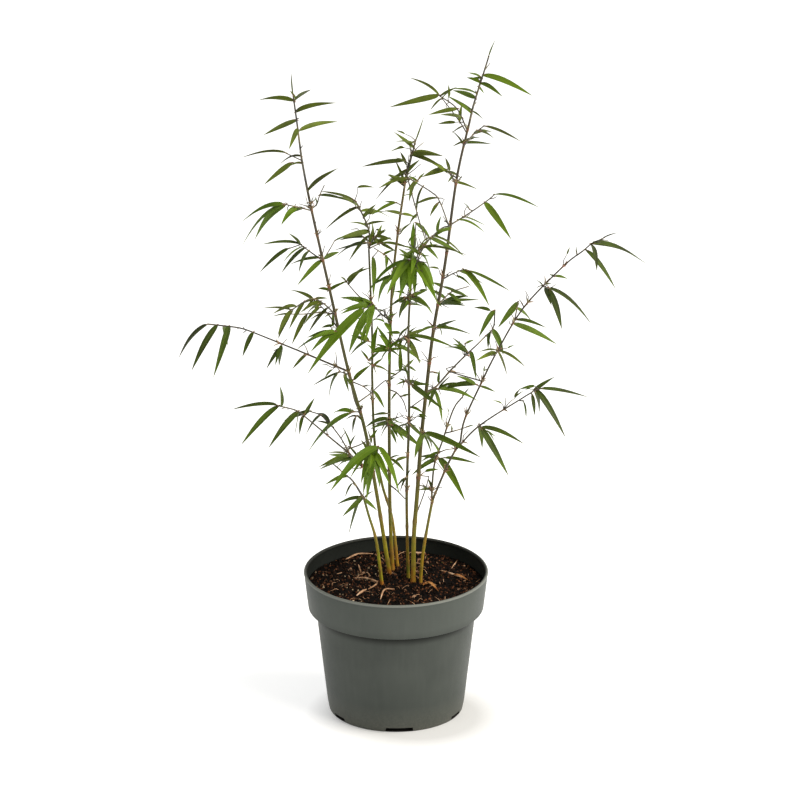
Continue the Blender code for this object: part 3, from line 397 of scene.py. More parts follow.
# The masses of foliage, by the fields of a spray
MASSES = (
    ("left_top", "cane_tall_left", TIP, ((-113, 513, -12), (-118, 552, -16), (-123, 589, -18)),
     ((0.01, 36, 46), (0.31, 198, 19), (0.3, 217, 43, 14), (0.33, 185, 54, 22), (0.62, 15, 48),
     (0.74, 203, 44), (0.82, 12, 51), (0.93, 177, 43), (1, 95, 28)), "olive", (1, 3)),
    ("left_upper", "cane_tall_left", 451, ((-119, 455, -28), (-135, 458, -46)), ((0.55, 230, 28),
     (0.9, 227, 57), (1, 202, 55), (1, 224, 70)), "bright", (2, 3), SPRAY_SHADE),
    ("left_middle", "cane_tall_left", 391, ((-103, 402, 36), (-116, 412, 60)), ((0.05, 227, 43),
     (0.2, 192, 36), (0.8, 226, 42), (1, 137, 20), (1, 219, 46, 20), (1, 180, 47)),
     "mid", (1, 2, 3, 4, 5)),
    ("left_waist", "cane_tall_left", 327, ((-88, 340, -22), (-103, 345, -38), (-126, 331, -58)),
     ((0.25, 231, 39), (0.48, 236, 18), (0.5, 211, 28), (0.78, 241, 39), (1, 241, 35),
     (1, 176, 34)), "olive", (0, 5)),
    ("left_elbow", "cane_tall_left", 306, ((-77, 307, 26), (-80, 307, 36)), ((1, 196, 30),
     (0.8, 207, 45)), "deep", (1,)),
    ("left_tip", "bough_left", TIP, ((-190, 311, 82), (-212, 314, 96), (-230, 316, 106)),
     ((0.04, 246, 33), (0.56, 254, 66), (0.8, 241, 65), (1, 229, 55)), "deep", (3,),
     -SPRAY_SHADE, 1.22),
    ("left_bough", "bough_left", 292, ((-139, 290, 74), (-140, 287, 88)), ((1, 236, 32),
     (0.6, 252, 26)), "deep"),
    ("left_bough_foot", "cane_tall_left", 254, ((-66, 257, -12), (-69, 257, -26)),
     ((1, 248, 33), (0.8, 206, 36)), "deep", (1,)),
    ("left_front", "cane_tall_left", 209, ((-50, 209, -10), (-54, 208, -26)), ((1, 222, 69),
     (0.8, 180, 24)), "bright", (0,)),
    ("low_left_tip", "bough_low_left", TIP, ((-120, 211, -94), (-143, 217, -116)),
     ((0.05, 61, 25), (0.1, 258, 24), (0.32, 231, 58), (0.93, 226, 66), (1, 185, 55)),
     "deep", (4,), 0.0, 1.22),
    ("low_left_side", "bough_low_left", 158, ((-69, 180, 18), (-89, 203, 40), (-106, 210, 52)),
     ((0.55, 160, 22), (0.8, 232, 30), (1, 200, 34)), "deep", (0, 1), -SPRAY_SHADE, 1.12),
    ("low_left_foot", "bough_low_left", 148, ((-53, 154, -38), (-56, 155, -52)), ((1, 175, 26),
     (0.9, 202, 42)), "deep"),
    ("bright_front", "cane_tall_left", 156, ((-29, 164, -14), (-21, 167, -48)), ((0.9, 229, 50),
     (1, 252, 59), (1, 294, 63), (1, 223, 80)), "bright"),
    ("short_top", "cane_short", TIP, ((-52, 125, -46), (-64, 135, -54)), ((0.1, 195, 33),
     (0.14, 224, 35), (0.18, 252, 49), (1, 140, 22)), "mid", (0, 2)),
    ("back_top", "cane_back", TIP, ((-33, 430, 144), (-44, 456, 152), (-51, 467, 156)),
     ((0.1, 20, 30), (0.2, 187, 31, 10), (0.25, 335, 28), (0.3, 231, 41), (0.38, 194, 39),
     (0.45, 165, 24), (0.5, 10, 24), (0.65, 45, 22), (0.85, 214, 50), (1, 164, 44)),
     "olive", (8, 9)),
    ("centre_top", "cane_centre", TIP, ((15, 502, 82), (24, 538, 86)), ((0.05, 145, 24),
     (0.4, 224, 54), (0.5, 187, 53, 9), (0.7, 331, 50), (0.74, 354, 37), (0.84, 142, 31),
     (1, 71, 32)), "olive", (0, 1)),
    ("centre_waist", "cane_centre", 319, ((-18, 328, 30), (-29, 340, 4)), ((0.9, 195, 42),
     (1, 260, 47), (1, 171, 38), (1, 229, 106, 13)), "bright"),
    ("centre_tuft", "cane_centre", 289, ((4, 296, 36), (15, 300, 16)), ((0.15, 328, 43),
     (0.9, 45, 18), (1, 347, 55)), "mid"),
    ("centre_low", "cane_centre", 193, ((-7, 195, 66), (-6, 195, 78)), ((1, 196, 26),
     (0.9, 317, 30), (0.7, 235, 22)), "deep"),
    ("front_top", "cane_front", TIP, ((20, 391, -58), (21, 404, -61)), ((0.4, 300, 34),
     (0.44, 249, 45), (0.48, 225, 43), (0.48, 265, 40), (0.52, 299, 58), (1, 90, 33)),
     "bright", (), 0.0, 1.1),
    ("front_right", "cane_front", 366, ((28, 396, -84), (41, 417, -108)), ((0.8, 315, 24),
     (1, 333, 48), (0.6, 150, 20)), "mid"),
    ("front_waist", "cane_front", 346, ((13, 346, -72), (12, 346, -84)), ((1, 336, 27),
     (0.9, 210, 26), (0.7, 250, 26)), "deep", (1,)),
    ("front_low", "cane_front", 242, ((18, 242, -54), (19, 241, -66)), ((0.8, 0, 22),
     (1, 322, 51)), "deep"),
    ("front_foot", "cane_front", 198, ((16, 196, -48), (16, 194, -60)), ((1, 317, 26),
     (0.8, 205, 24)), "deep"),
    ("right_top", "cane_tall_right", TIP, ((94, 580, -8), (107, 621, -14), (111, 634, -16)),
     ((0.1, 146, 35), (0.58, 159, 18), (0.57, 327, 32), (0.7, 336, 65), (1, 69, 22)),
     "mid", (0,), SPRAY_SHADE),
    ("right_top_left", "cane_tall_right", 546, ((73, 574, 44), (51, 591, 76)), ((0.55, 192, 36),
     (0.95, 27, 22), (1, 193, 62), (1, 148, 42)), "olive", (3,)),
    ("right_shoulder", "cane_tall_right", 528, ((92, 540, -44), (105, 550, -68)),
     ((0.8, 335, 22), (0.3, 200, 20), (1, 337, 47)), "olive", (0, 2), -SPRAY_SHADE),
    ("right_upper", "cane_tall_right", 482, ((66, 494, 38), (61, 502, 58)), ((0.2, 342, 30),
     (1, 196, 32), (0.8, 150, 22)), "olive", (0,), SPRAY_SHADE),
    ("right_middle", "cane_tall_right", 434, ((90, 450, 52), (112, 466, 88), (120, 473, 98)),
     ((0.2, 335, 35), (0.8, 305, 56), (1, 343, 56)), "mid", (0, 2), SPRAY_SHADE),
    ("right_inner", "cane_tall_right", 430, ((52, 462, -40), (42, 472, -62), (16, 487, -92)),
     ((0.45, 237, 20), (0.52, 197, 33), (0.8, 258, 38), (1, 182, 26)), "olive", (1, 2)),
    ("right_waist", "cane_tall_right", 369, ((68, 375, -40), (81, 380, -72)), ((1, 305, 55),
     (1, 334, 56, 9)), "mid", (1,)),
    ("right_elbow", "cane_tall_right", 338, ((54, 340, 40), (56, 341, 54)), ((0.9, 357, 28),
     (1, 14, 34), (1, 5, 46)), "mid", (0, 1, 2)),
    ("right_low", "cane_tall_right", 308, ((47, 310, -32), (48, 310, -46)), ((1, 350, 44),
     (0.8, 200, 26)), "mid", (0,)),
    ("right_bough", "bough_right", 277, ((88, 280, 54), (91, 283, 36)), ((0.6, 135, 28),
     (1, 280, 37)), "deep", (0,)),
    ("right_bough_tip", "bough_right", TIP, ((110, 302, 120), (119, 312, 128), (121, 334, 134)),
     ((0.5, 262, 22), (0.58, 293, 35), (1, 240, 39)), "deep", (), 0.0, 1.3),
    ("right_bough_foot", "cane_tall_right", 226, ((46, 236, -26), (52, 237, -42)),
     ((0.7, 284, 42), (1, 47, 22), (0.9, 343, 53), (1, 9, 36)), "mid", (1, 3)),
    ("far_tip", "bough_far_right", TIP, ((235, 411, -72), (247, 416, -76)), ((0.12, 307, 59),
     (0.5, 341, 71), (1, 22, 22)), "deep", (1,), -SPRAY_SHADE, 1.35),
    ("far_middle", "bough_far_right", 360, ((182, 357, -82), (183, 357, -96)), ((0.9, 288, 52),
     (1, 320, 67)), "deep", (1,), -SPRAY_SHADE, 1.2),
    ("far_low", "bough_far_right", 314, ((143, 320, -14), (148, 343, 6)), ((0.2, 335, 60),
     (0.5, 345, 38), (1, 232, 40)), "mid", (1,)),
    ("far_foot", "bough_far_right", 278, ((121, 282, -62), (122, 283, -76)), ((0.9, 184, 22),
     (1, 329, 38), (0.8, 293, 32)), "olive", (0, 1, 2)),
    ("low_right_tip", "bough_low_right", TIP, ((166, 235, -140), (173, 237, -147)),
     ((0.1, 278, 26), (0.4, 34, 31), (0.7, 301, 68), (1, 350, 58)), "deep", (3,), -SPRAY_SHADE),
    ("low_right", "bough_low_right", 191, ((101, 191, -98), (102, 190, -112)), ((1, 300, 68),
     (0.9, 339, 57)), "mid", (), -SPRAY_SHADE),
    ("fork_left", "fork_left", 150, ((52, 152, 36), (59, 153, 52)), ((0.2, 205, 22),
     (0.3, 212, 37), (0.6, 301, 62), (1, 350, 40)), "mid", (3,)),
    ("centre_right", "cane_tall_right", 182, ((34, 184, -28), (35, 184, -44)), ((1, 336, 75),
     (0.7, 250, 34)), "mid"),
)
SPRAYS = tuple(Spray("spray_" + name, *rest) for name, *rest in MASSES)

# One more small twig each, with its leaves, by their tone: name, host, at, places, leaves and
# which of them show their edge
FINE_SPRAYS = {
    "olive": (
        ("centre_pair", "cane_centre", 447, ((7, 448, 52),), ((1, 169, 22), (0.9, 346, 20))),
        ("centre_reach", "cane_centre", 423, ((6, 425, 52),), ((1, 44, 18),)),
        ("back_tuft", "cane_back", TIP, ((-28, 419, 126), (-23, 423, 122)), ((0.5, 39, 25),
         (1, 66, 15), (1, 347, 21), (0.9, 38, 16), (0.8, 311, 13), (0.4, 82, 23), (0.7, 93, 22))),
        ("back_right", "cane_back", TIP, ((-24, 412, 124), (-18, 414, 116)), ((1, 350, 38),
         (1, 331, 22), (0.8, 30, 19))),
        ("front_dark", "cane_front", 372, ((24, 391, -74), (30, 405, -92)), ((1, 351, 56),
         (1, 14, 22), (0.9, 49, 21), (0.7, 67, 21)), (0,)),
        ("right_arch", "cane_tall_right", 433, ((55, 430, -6), (41, 418, -22)), ((1, 214, 13),
         (0.9, 329, 44)), (1,)),
        ("back_low_left", "cane_back", 338, ((-41, 346, 104), (-51, 356, 96), (-61, 368, 86)),
         ((0.97, 30, 35), (0.98, 211, 22), (1, 140, 9), (0.9, 47, 30), (0.3, 178, 17))),
        ("left_row", "cane_tall_left", 327, ((-90, 329, -8), (-111, 327, -16), (-129, 327, -24)),
         ((1, 187, 21), (0.98, 245, 34), (0.62, 243, 41), (0.2, 200, 23), (0.3, 180, 10),
         (0.1, 207, 10)), (0, 3)),
        ("left_rise", "cane_tall_left", 308, ((-79, 323, 16), (-89, 335, 28), (-100, 345, 38)),
         ((1, 204, 29), (0.98, 229, 18), (1, 157, 32), (0.7, 228, 27, 5), (1, 4, 16),
         (0.9, 77, 6)), (1, 2)),
        ("left_bough_leaf", "bough_left", 279, ((-108, 279, 50),), ((1, 225, 26), (0.8, 210, 9))),
        ("centre_long", "cane_centre", 291, ((4, 296, 40), (13, 301, 26)), ((1, 347, 57),
         (0.9, 299, 39), (1, 339, 22), (0.7, 251, 18), (1, 0, 28), (0.9, 23, 26))),
        ("back_strand", "cane_back", 265, ((-27, 265, 84),), ((1, 336, 23), (0.8, 39, 15),
         (0.9, 289, 12), (0.6, 147, 10))),
        ("low_left_leaf", "bough_low_left", 156, ((-57, 157, -50),), ((1, 202, 40),
         (0.9, 173, 25)), (1,)),
        ("centre_top_long", "cane_centre", TIP, ((13, 502, 82), (19, 521, 84)), ((1, 335, 51),
         (1, 356, 39), (0.3, 201, 36), (0.45, 44, 24), (0.2, 159, 23))),
        ("centre_top_left", "cane_centre", TIP, ((10, 488, 78), (9, 484, 74)), ((1, 147, 23),
         (0.8, 111, 30)), (0, 1)),
        ("inner_arch", "spray_right_inner", TIP, ((15, 484, -90), (21, 462, -84), (29, 434, -74),
         (35, 416, -66)), ((0.3, 192, 13), (0.6, 231, 16))),
        ("top_left_twig", "cane_tall_right", 543, ((79, 554, 24), (68, 570, 44), (55, 587, 62)),
         ((0.3, 212, 15), (0.98, 227, 19), (1, 38, 19), (0.45, 82, 22))),
        ("upper_left", "cane_tall_right", 490, ((62, 498, 40), (55, 503, 52)), ((1, 204, 27),
         (0.9, 135, 11), (0.5, 14, 7), (0.3, 233, 11))),
    ),
    "mid": (
        ("centre_arch", "cane_centre", 459, ((0, 462, 58),), ((1, 207, 34), (0.8, 173, 14))),
        ("inner_twig", "cane_centre", 384, ((-6, 391, 62), (-12, 398, 66), (-27, 408, 74)),
         ((0.5, 268, 17), (0.82, 270, 50, 12), (0.6, 21, 15))),
        ("upright_tip", "cane_front", TIP, ((22, 406, -64), (24, 436, -70)), ((1, 314, 25),)),
        ("right_strand", "cane_tall_right", 361, ((57, 360, 22),), ((1, 337, 32), (0.9, 159, 15)),
         (0,)),
        ("right_rise", "cane_tall_right", 338, ((61, 349, 22), (69, 355, 34), (88, 361, 52)),
         ((0.4, 324, 20), (0.25, 148, 21), (0.55, 340, 20))),
        ("front_tuft", "cane_front", 345, ((20, 348, -54),), ((1, 24, 22), (1, 327, 27),
         (0.8, 208, 18), (0.9, 319, 34), (0.9, 236, 22))),
        ("front_level", "cane_front", 336, ((16, 338, -54),), ((1, 354, 17), (0.8, 164, 17))),
        ("left_bend", "cane_tall_left", 392, ((-85, 397, 20), (-79, 407, 34), (-74, 416, 40)),
         ((1, 18, 14), (0.1, 25, 21))),
        ("left_join", "cane_tall_left", 355, ((-81, 356, 10),), ((1, 170, 14), (0.9, 28, 22))),
        ("back_arch", "cane_back", 294, ((-35, 295, 88),), ((1, 219, 28), (0.8, 160, 23),
         (1, 132, 22), (0.7, 128, 15))),
        ("back_thin", "cane_back", 271, ((-34, 272, 86),), ((1, 127, 16), (0.8, 40, 19))),
        ("left_up_leaf", "cane_tall_left", 248, ((-50, 248, 14),), ((1, 41, 28), (0.8, 213, 10))),
        ("left_cross", "cane_tall_left", 220, ((-30, 232, 36), (-24, 238, 48), (-13, 247, 58),
         (-9, 245, 62)), ((0.5, 302, 26), (1, 34, 11))),
        ("centre_branch", "cane_centre", 250, ((0, 255, 58), (7, 260, 64), (15, 265, 70)),
         ((0.6, 91, 33), (1, 329, 13), (0.9, 46, 14), (0.3, 171, 12))),
        ("centre_bow", "cane_centre", 236, ((1, 232, 32), (9, 222, 8), (13, 209, -10)),
         ((0.5, 13, 12), (0.3, 234, 11))),
        ("front_brown", "cane_front", 245, ((10, 246, -26),), ((1, 201, 12), (1, 157, 9),
         (0.8, 249, 10), (0.5, 351, 23))),
        ("front_reach", "cane_front", 213, ((24, 219, -28), (37, 228, -36)), ((0.1, 333, 18),
         (1, 41, 14))),
        ("right_bud", "cane_tall_right", 257, ((45, 257, -8),), ((1, 349, 10),)),
        ("far_pair", "bough_far_right", 240, ((96, 242, -52),), ((1, 156, 27), (1, 188, 42),
         (0.2, 340, 20))),
        ("centre_low", "cane_centre", 200, ((-9, 201, 28),), ((1, 202, 32), (0.9, 239, 18),
         (0.8, 296, 26), (0.9, 338, 18))),
        ("centre_drop", "cane_centre", 191, ((-4, 192, 26),), ((1, 323, 44), (0.9, 338, 19),
         (0.8, 309, 25))),
        ("fork_twig", "fork_left", 183, ((72, 186, 34), (88, 191, 40)), ((1, 16, 9),
         (0.3, 90, 8))),
        ("fork_low_twig", "fork_left", 159, ((61, 163, 12), (71, 164, 20)), ((0.1, 207, 25),
         (0.05, 122, 15))),
        ("centre_low_pair", "cane_centre", 152, ((-7, 152, 34),), ((1, 153, 14), (1, 20, 14),
         (0.9, 242, 10), (0.8, 317, 24))),
        ("left_second", "cane_tall_left", 206, ((-50, 222, 26), (-55, 242, 32)), ((1, 119, 14),)),
        ("low_left_twig", "bough_low_left", 163, ((-44, 169, -8), (-28, 178, 6)),
         ((0.9, 54, 14),)),
        ("short_fan", "cane_short", TIP, ((-39, 104, -40),), ((0.7, 318, 22), (0.6, 39, 14))),
        ("inner_end", "spray_right_inner", 482, ((26, 485, -84),), ((1, 224, 18), (1, 150, 13),
         (0.9, 48, 12))),
        ("top_small", "spray_right_top", 592, ((100, 602, -4), (102, 610, -6)), ((1, 162, 17),
         (0.9, 183, 13), (0.3, 310, 10))),
        ("far_stub_low", "bough_far_right", 371, ((190, 372, -52),), ((1, 149, 7),
         (0.9, 350, 16))),
        ("right_bough_more", "bough_right", 279, ((84, 287, 92), (85, 293, 90)), ((1, 24, 12),
         (0.4, 157, 18))),
    ),
    "bright": (
        ("bright_left", "cane_front", TIP, ((19, 388, -60), (14, 391, -66)), ((1, 220, 66),
         (0.9, 238, 50), (0.8, 257, 45), (0.9, 228, 39), (0.6, 251, 49)), (0,)),
        ("bright_drop", "cane_front", TIP, ((13, 386, -64), (4, 378, -66), (-5, 371, -64)),
         ((1, 242, 37), (0.8, 262, 31), (0.95, 205, 30), (0.5, 285, 26)), (2,)),
        ("bright_right", "cane_front", TIP, ((22, 388, -62), (27, 391, -66)), ((1, 300, 36),
         (0.8, 290, 38), (0.5, 272, 38), (0.7, 298, 57))),
        ("left_pale", "cane_tall_left", 306, ((-73, 306, -12),), ((1, 196, 30), (0.9, 205, 52),
         (0.8, 219, 40)), (1,)),
        ("waist_drop", "cane_back", 330, ((-27, 338, 92),), ((1, 257, 44), (1, 166, 41),
         (1, 190, 43), (0.9, 242, 65))),
        ("waist_curve", "cane_back", 313, ((-32, 318, 88),), ((1, 248, 29), (0.8, 160, 17))),
        ("tuft", "cane_centre", 282, ((-8, 284, 30),), ((1, 118, 33), (1, 156, 18), (0.9, 188, 24),
         (1, 35, 23), (0.9, 5, 18), (0.8, 268, 18), (1, 78, 15), (0.9, 125, 24), (0.9, 327, 15),
         (0.8, 231, 17))),
        ("tuft_back", "cane_back", 281, ((-27, 282, 84),), ((1, 81, 33), (0.9, 18, 18),
         (0.5, 127, 13))),
        ("bright_low", "cane_tall_left", 160, ((-28, 163, -24),), ((1, 251, 44), (1, 263, 62),
         (0.9, 281, 48), (0.8, 297, 45))),
    ),
    "deep": (
        ("back_left", "cane_back", TIP, ((-35, 415, 124),), ((1, 192, 42), (0.9, 202, 42))),
        ("left_node", "cane_tall_left", 453, ((-95, 459, 4), (-92, 469, 10), (-86, 482, 16)),
         ((0.62, 348, 37), (0.3, 105, 10))),
        ("left_fan", "cane_tall_left", 457, ((-101, 460, -12),), ((1, 180, 9), (1, 74, 9),
         (0.9, 46, 9))),
        ("left_dark", "cane_tall_left", 246, ((-40, 240, 24), (-30, 232, 44)), ((0.4, 8, 9),)),
        ("far_twig", "bough_far_right", 246, ((62, 259, -30), (69, 264, -34)), ()),
        ("centre_grey", "cane_centre", 207, ((-11, 207, 38),), ((1, 188, 20),)),
        ("right_drop", "cane_tall_right", 182, ((32, 182, -14),), ((1, 295, 26), (0.8, 319, 29))),
        ("centre_bud", "cane_centre", 135, ((-10, 136, 30),), ((1, 137, 13), (0.8, 161, 8))),
        ("centre_foot", "cane_centre", 120, ((1, 113, 34), (11, 103, 26)), ()),
        ("front_foot", "cane_front", 130, ((12, 129, -40),), ((1, 226, 19), (0.9, 247, 19),
         (0.8, 203, 8), (0.5, 59, 13))),
        ("left_green", "cane_tall_left", 204, ((-48, 204, -12),), ((1, 258, 20), (0.9, 198, 15),
         (0.8, 313, 13))),
        ("low_left_fan", "bough_low_left", 165, ((-55, 167, -44),), ((1, 111, 26), (1, 65, 17),
         (0.8, 308, 23))),
        ("tall_ladder", "cane_tall_right", 81, ((30, 98, 18), (37, 118, 26), (40, 131, 32)), ()),
        ("ladder_low", "cane_tall_right", 120, ((38, 118, 24),), ()),
        ("ladder_high", "cane_tall_right", 132, ((40, 130, 28),), ()),
        ("shoulder_arch", "spray_right_top", 568, ((92, 570, 20),), ((1, 148, 37),
         (0.8, 323, 16))),
        ("shoulder_low", "cane_tall_right", 530, ((79, 532, 14),), ((1, 128, 20), (0.9, 18, 24),
         (0.8, 359, 37))),
        ("far_stub", "bough_far_right", 397, ((216, 401, -66),), ((1, 90, 7),)),
        ("far_stub_side", "bough_far_right", 360, ((176, 361, -46),), ((1, 135, 10),
         (0.7, 201, 9))),
        ("low_right_leaf", "bough_low_right", 223, ((153, 222, -128),), ((1, 280, 21),)),
        ("fork_end", "fork_left", TIP, ((81, 228, 68),), ((1, 53, 12), (0.8, 105, 8))),
        ("right_stub", "spray_right_middle", 452, ((88, 454, 52),), ((1, 131, 11),)),
        ("far_twig_up", "bough_far_right", 335, ((151, 340, -36),), ((1, 124, 7),)),
    ),
}


class Blade(NamedTuple):
    """Where a leaf or sheath sits: its root, its line to the tip and the way its face looks."""
    root: Vector
    chord: Vector
    normal: Vector
    width: float        # metres
    thick: float        # metres
    bow: Vector         # how far its middle stands off the line, as a share of its length
    twist: float
    fold: float
    shade: float = 0.5          # its own shade, dark to light; for edge-on and rolled leaves, painted shade


class Growth:
    """What has grown so far: blades by kind, thin twigs as paths with radii, and rings."""

    def __init__(self):
        self.leaves = {tone: [] for tone in LEAF_TONES}
        self.sheaths = []
        self.twigs = []
        self.rings = []


def seen(across, up, depth):
    """The point that shows at (across, up) in the front view and lies at this depth."""
    rise = (up - depth * SIN_DOWN) / COS_DOWN
    return Vector((across, depth, SOIL_TOP + rise)) * MM


def view_up(point):
    """How far up a point shows in the front view, in millimetres."""
    return point.y / MM * SIN_DOWN + (point.z / MM - SOIL_TOP) * COS_DOWN


def smooth_path(places, spacing):
    """Points along one smooth curve through the places, no further apart than the spacing."""
    ends = [places[0] * 2 - places[1], *places, places[-1] * 2 - places[-2]]
    path = [places[0].copy()]
    for before, start, end, after in zip(ends, ends[1:], ends[2:], ends[3:]):
        steps = max(1, math.ceil((end - start).length / (spacing * MM)))
        for step in range(1, steps + 1):
            t = step / steps
            path.append(0.5 * (
                2 * start + (end - before) * t
                + (2 * before - 5 * start + 4 * end - after) * t ** 2
                + (3 * start - before - 3 * end + after) * t ** 3))
    return path


def lengths_along(path):
    """The distance of each point of a path from its start."""
    lengths = [0.0]
    for a, b in zip(path, path[1:]):
        lengths.append(lengths[-1] + (b - a).length)
    return lengths


def taper(path, thick, flare=False):
    """The radius at each point of a limb, even from foot to tip, with a wider foot."""
    lengths = lengths_along(path)
    radii = []
    for length in lengths:
        radius = (thick[0] + (thick[1] - thick[0]) * length / lengths[-1]) / 2 * MM
        if flare and length < FLARE_HEIGHT * MM:
            radius *= FLARE + (1 - FLARE) * length / (FLARE_HEIGHT * MM)
        radii.append(radius)
    return radii


def leave_host(host, at):
    """Where a limb or stem starts: on its host's axis, or from the host's tip."""
    path = host[0]
    if at == TIP:
        onward = (path[-1] - path[-2]).normalized()
        return [path[-1] - onward * ROOT_SINK * MM, path[-1] + onward * TIP_RUN * MM]
    for a, b in zip(path, path[1:]):
        if view_up(b) >= at:
            break
    share = (at - view_up(a)) / (view_up(b) - view_up(a))
    return [a.lerp(b, min(max(share, 0.0), 1.0))]


def grow_limbs():
    """Paths and radii of all canes and boughs, by name."""
    limbs = {}
    for limb in CANES + BOUGHS:
        places = [seen(*place) for place in limb.places]
        standing = limb.host == "soil"
        if standing:
            places[0].z = SOIL_TOP * MM
            places.insert(1, places[0].lerp(places[1], FLARE_LEAN))
            places[1].z = places[0].z + FLARE_HEIGHT * MM
        else:
            places = leave_host(limbs[limb.host], limb.at) + places
        path = smooth_path(places, CANE_STEP if standing else PATH_STEP)
        radii = taper(path, limb.thick, flare=standing)
        if standing:
            path.insert(0, path[0] - UP * FOOT_SUNK * MM)
            radii.insert(0, radii[0])
        limbs[limb.name] = (path, radii)
    return limbs


def point_along(path, share):
    """The point at a share of the path's length, just short of its end, and its direction."""
    lengths = lengths_along(path)
    length = min(share * lengths[-1], lengths[-1] - ROOT_SINK * MM)
    return place_at(path, lengths, length)[:2]


def leaf_chord(heading, length, depth_turn):
    """The leaf's line from root to tip: its view length at a heading, turned in depth."""
    angle = math.radians(heading)
    flat = VIEW_RIGHT * math.cos(angle) + VIEW_UP * math.sin(angle)
    return (flat + VIEW_AWAY * math.tan(math.radians(depth_turn))) * length * MM


def leaf_plan(spray, rng, fine):
    """Every leaf of a spray: its place along the stem, heading, view length, turn in
    depth, the length of its side twig, if it has one, whether it shows its edge, where that
    is known, and its breadth. A spray that isn't a fine one has further leaves that point
    towards the viewer or away."""
    plan = []
    for k, (share, heading, length, *twig) in enumerate(spray.leaves):
        turn = rng.uniform(*DEPTH_TURNS) * rng.choice((-1, 1))
        rolled = spray.at == TIP and share == 1.0 and length < ROLLED_LENGTH and not fine
        if not twig and rng.random() < TWIG_SHARE:
            twig = [rng.uniform(*TWIG_LENGTHS)]
        plan.append((share, heading, length, turn, twig, k in spray.edge_on,
                     ROLLED_WIDTH if rolled else 1.0))
    first_way = rng.choice((-1, 1))
    for k in range(0 if fine else round(len(spray.leaves) / LEAVES_PER_DEEP)):
        turn = rng.uniform(*DEEP_TURNS) * first_way * (-1) ** k
        flat_length = rng.uniform(*DEEP_LENGTHS) * math.cos(math.radians(turn))
        heading = spray.leaves[k][1] + rng.uniform(-DEEP_SPREAD, DEEP_SPREAD)
        plan.append((rng.uniform(*DEEP_PLACES), heading, flat_length, turn, [], None, 1.0))
    return plan


def square_to(direction, way):
    """The part of a direction that is square to a way, as a unit vector."""
    return (direction - way * direction.dot(way) / way.length_squared).normalized()


def square_to_view(chord):
    """The part of a leaf's line that shows in the front view."""
    return chord - VIEW_AWAY * chord.dot(VIEW_AWAY)


def make_blade(root, chord, tilt, tone, rng, edge_on=None, breadth=1.0, shade_shift=0.0):
    """A leaf on this line, with its own bow, twist, fold and roll. It arches over its face
    and droops to its tip. One that shows its edge looks up past the viewer, and that one and
    a rolled one are darker, as painted shade."""
    normal = square_to(tilt, chord)
    if edge_on is None:
        edge_on = rng.random() < EDGE_ON_SHARE
    roll = math.radians(rng.uniform(-LEAF_ROLL, LEAF_ROLL))
    if edge_on:
        normal = square_to(-VIEW_AWAY, chord)
        roll = math.radians(rng.uniform(*EDGE_ON_TURNS))
        roll = math.copysign(roll, -UP.dot(normal.cross(chord)))
    normal = Matrix.Rotation(roll, 3, chord) @ normal
    length = math.sqrt(chord.length * square_to_view(chord).length)
    usual = math.sqrt(length * LEAF_USUAL * MM) * LEAF_SLIMNESS[tone]
    widest = (EDGE_ON_WIDEST if edge_on else LEAF_WIDEST) * MM
    width = min(usual, length * LEAF_PLUMPEST, widest) * rng.uniform(*LEAF_BREADTHS) * breadth
    droops = BRIGHT_DROOPS if tone == "bright" else LEAF_DROOPS
    bow = normal * rng.uniform(*LEAF_ARCHES) + square_to(UP, chord) * rng.uniform(*droops)
    # painted shade: a leaf that shows its edge or is rolled up gets a darker shade
    shades = EDGE_ON_PAINTED_SHADES if edge_on or breadth < 1 else LEAF_SHADES
    return Blade(root, chord, normal, width, LEAF_THICK * MM, bow,
                 math.radians(rng.uniform(*LEAF_TWISTS)), math.radians(rng.uniform(*LEAF_FOLDS)),
                 rng.uniform(*shades) + shade_shift)


def crosses(limb_tree, root, chord, tilt):
    """Whether a leaf on this line would pass through a cane or bough."""
    width = chord.length / TRIED_SLIMNESS
    side = square_to(tilt, chord).cross(chord).normalized() * width / 2
    wide = root + chord * TRIED_WIDEST
    corners = [root + chord * CLEAR_SHARE, wide - side, root + chord, wide + side]
    return bool(limb_tree.overlap(BVHTree.FromPolygons(corners, [(0, 1, 2, 3)])))


def grow_spray(spray, hosts, limb_tree, growth, fine=False):
    """One mass of foliage: its stem, side twigs and leaves, by the source's rule. A fine
    spray is one more small twig with its leaves, on a limb or a stem."""
    rng = random.Random(spray.name)
    finer = random.Random(spray.name + " finer")
    thick = FINE_STEM if fine else STEM_THICK
    twig_radius = thick[1] / 2 * MM
    if spray.at == TIP and not fine:
        thick = (hosts[spray.host][1][-1] * 2 / MM, TOP_STEM_TIP)
    places = [seen(*place) for place in spray.places]
    path = smooth_path(leave_host(hosts[spray.host], spray.at) + places, PATH_STEP)
    radii = taper(path, thick)
    hosts[spray.name] = (path, radii)
    growth.twigs.append((path, radii))
    plan = leaf_plan(spray, rng, fine)
    for share, heading, length, turn, twig_lengths, edge_on, breadth in plan:
        strays = [rng.uniform(-spread, spread) for spread in FACE_SPREAD]
        tilt = LEAF_FACE + Vector((*strays, 0))
        root, along = point_along(path, share)
        for tried in range(LEAF_TRIES):
            offset = RETRY_TURN * ((tried + 1) // 2) * (-1) ** tried
            chord = leaf_chord(heading, length, max(-STEEPEST, min(STEEPEST, turn + offset)))
            if not crosses(limb_tree, root, chord, tilt):
                break
        for twig_length in twig_lengths:
            way = (along + chord.normalized() * TWIG_LEAN).normalized()
            end = root + way * twig_length * MM
            growth.twigs.append(([root, root.lerp(end, 0.5), end], [twig_radius] * 3))
            root = end - way * ROOT_SINK * MM
        if fine and spray.tone == "deep":
            edge_on = True
        growth.leaves[spray.tone].append(
            make_blade(root, chord, tilt, spray.tone, finer, edge_on, breadth * spray.breadth,
                       spray.shade))
        growth.sheaths.append(leaf_sheath(root, along, chord, finer))
    if not fine:
        finer_growth(spray, path, growth, finer)


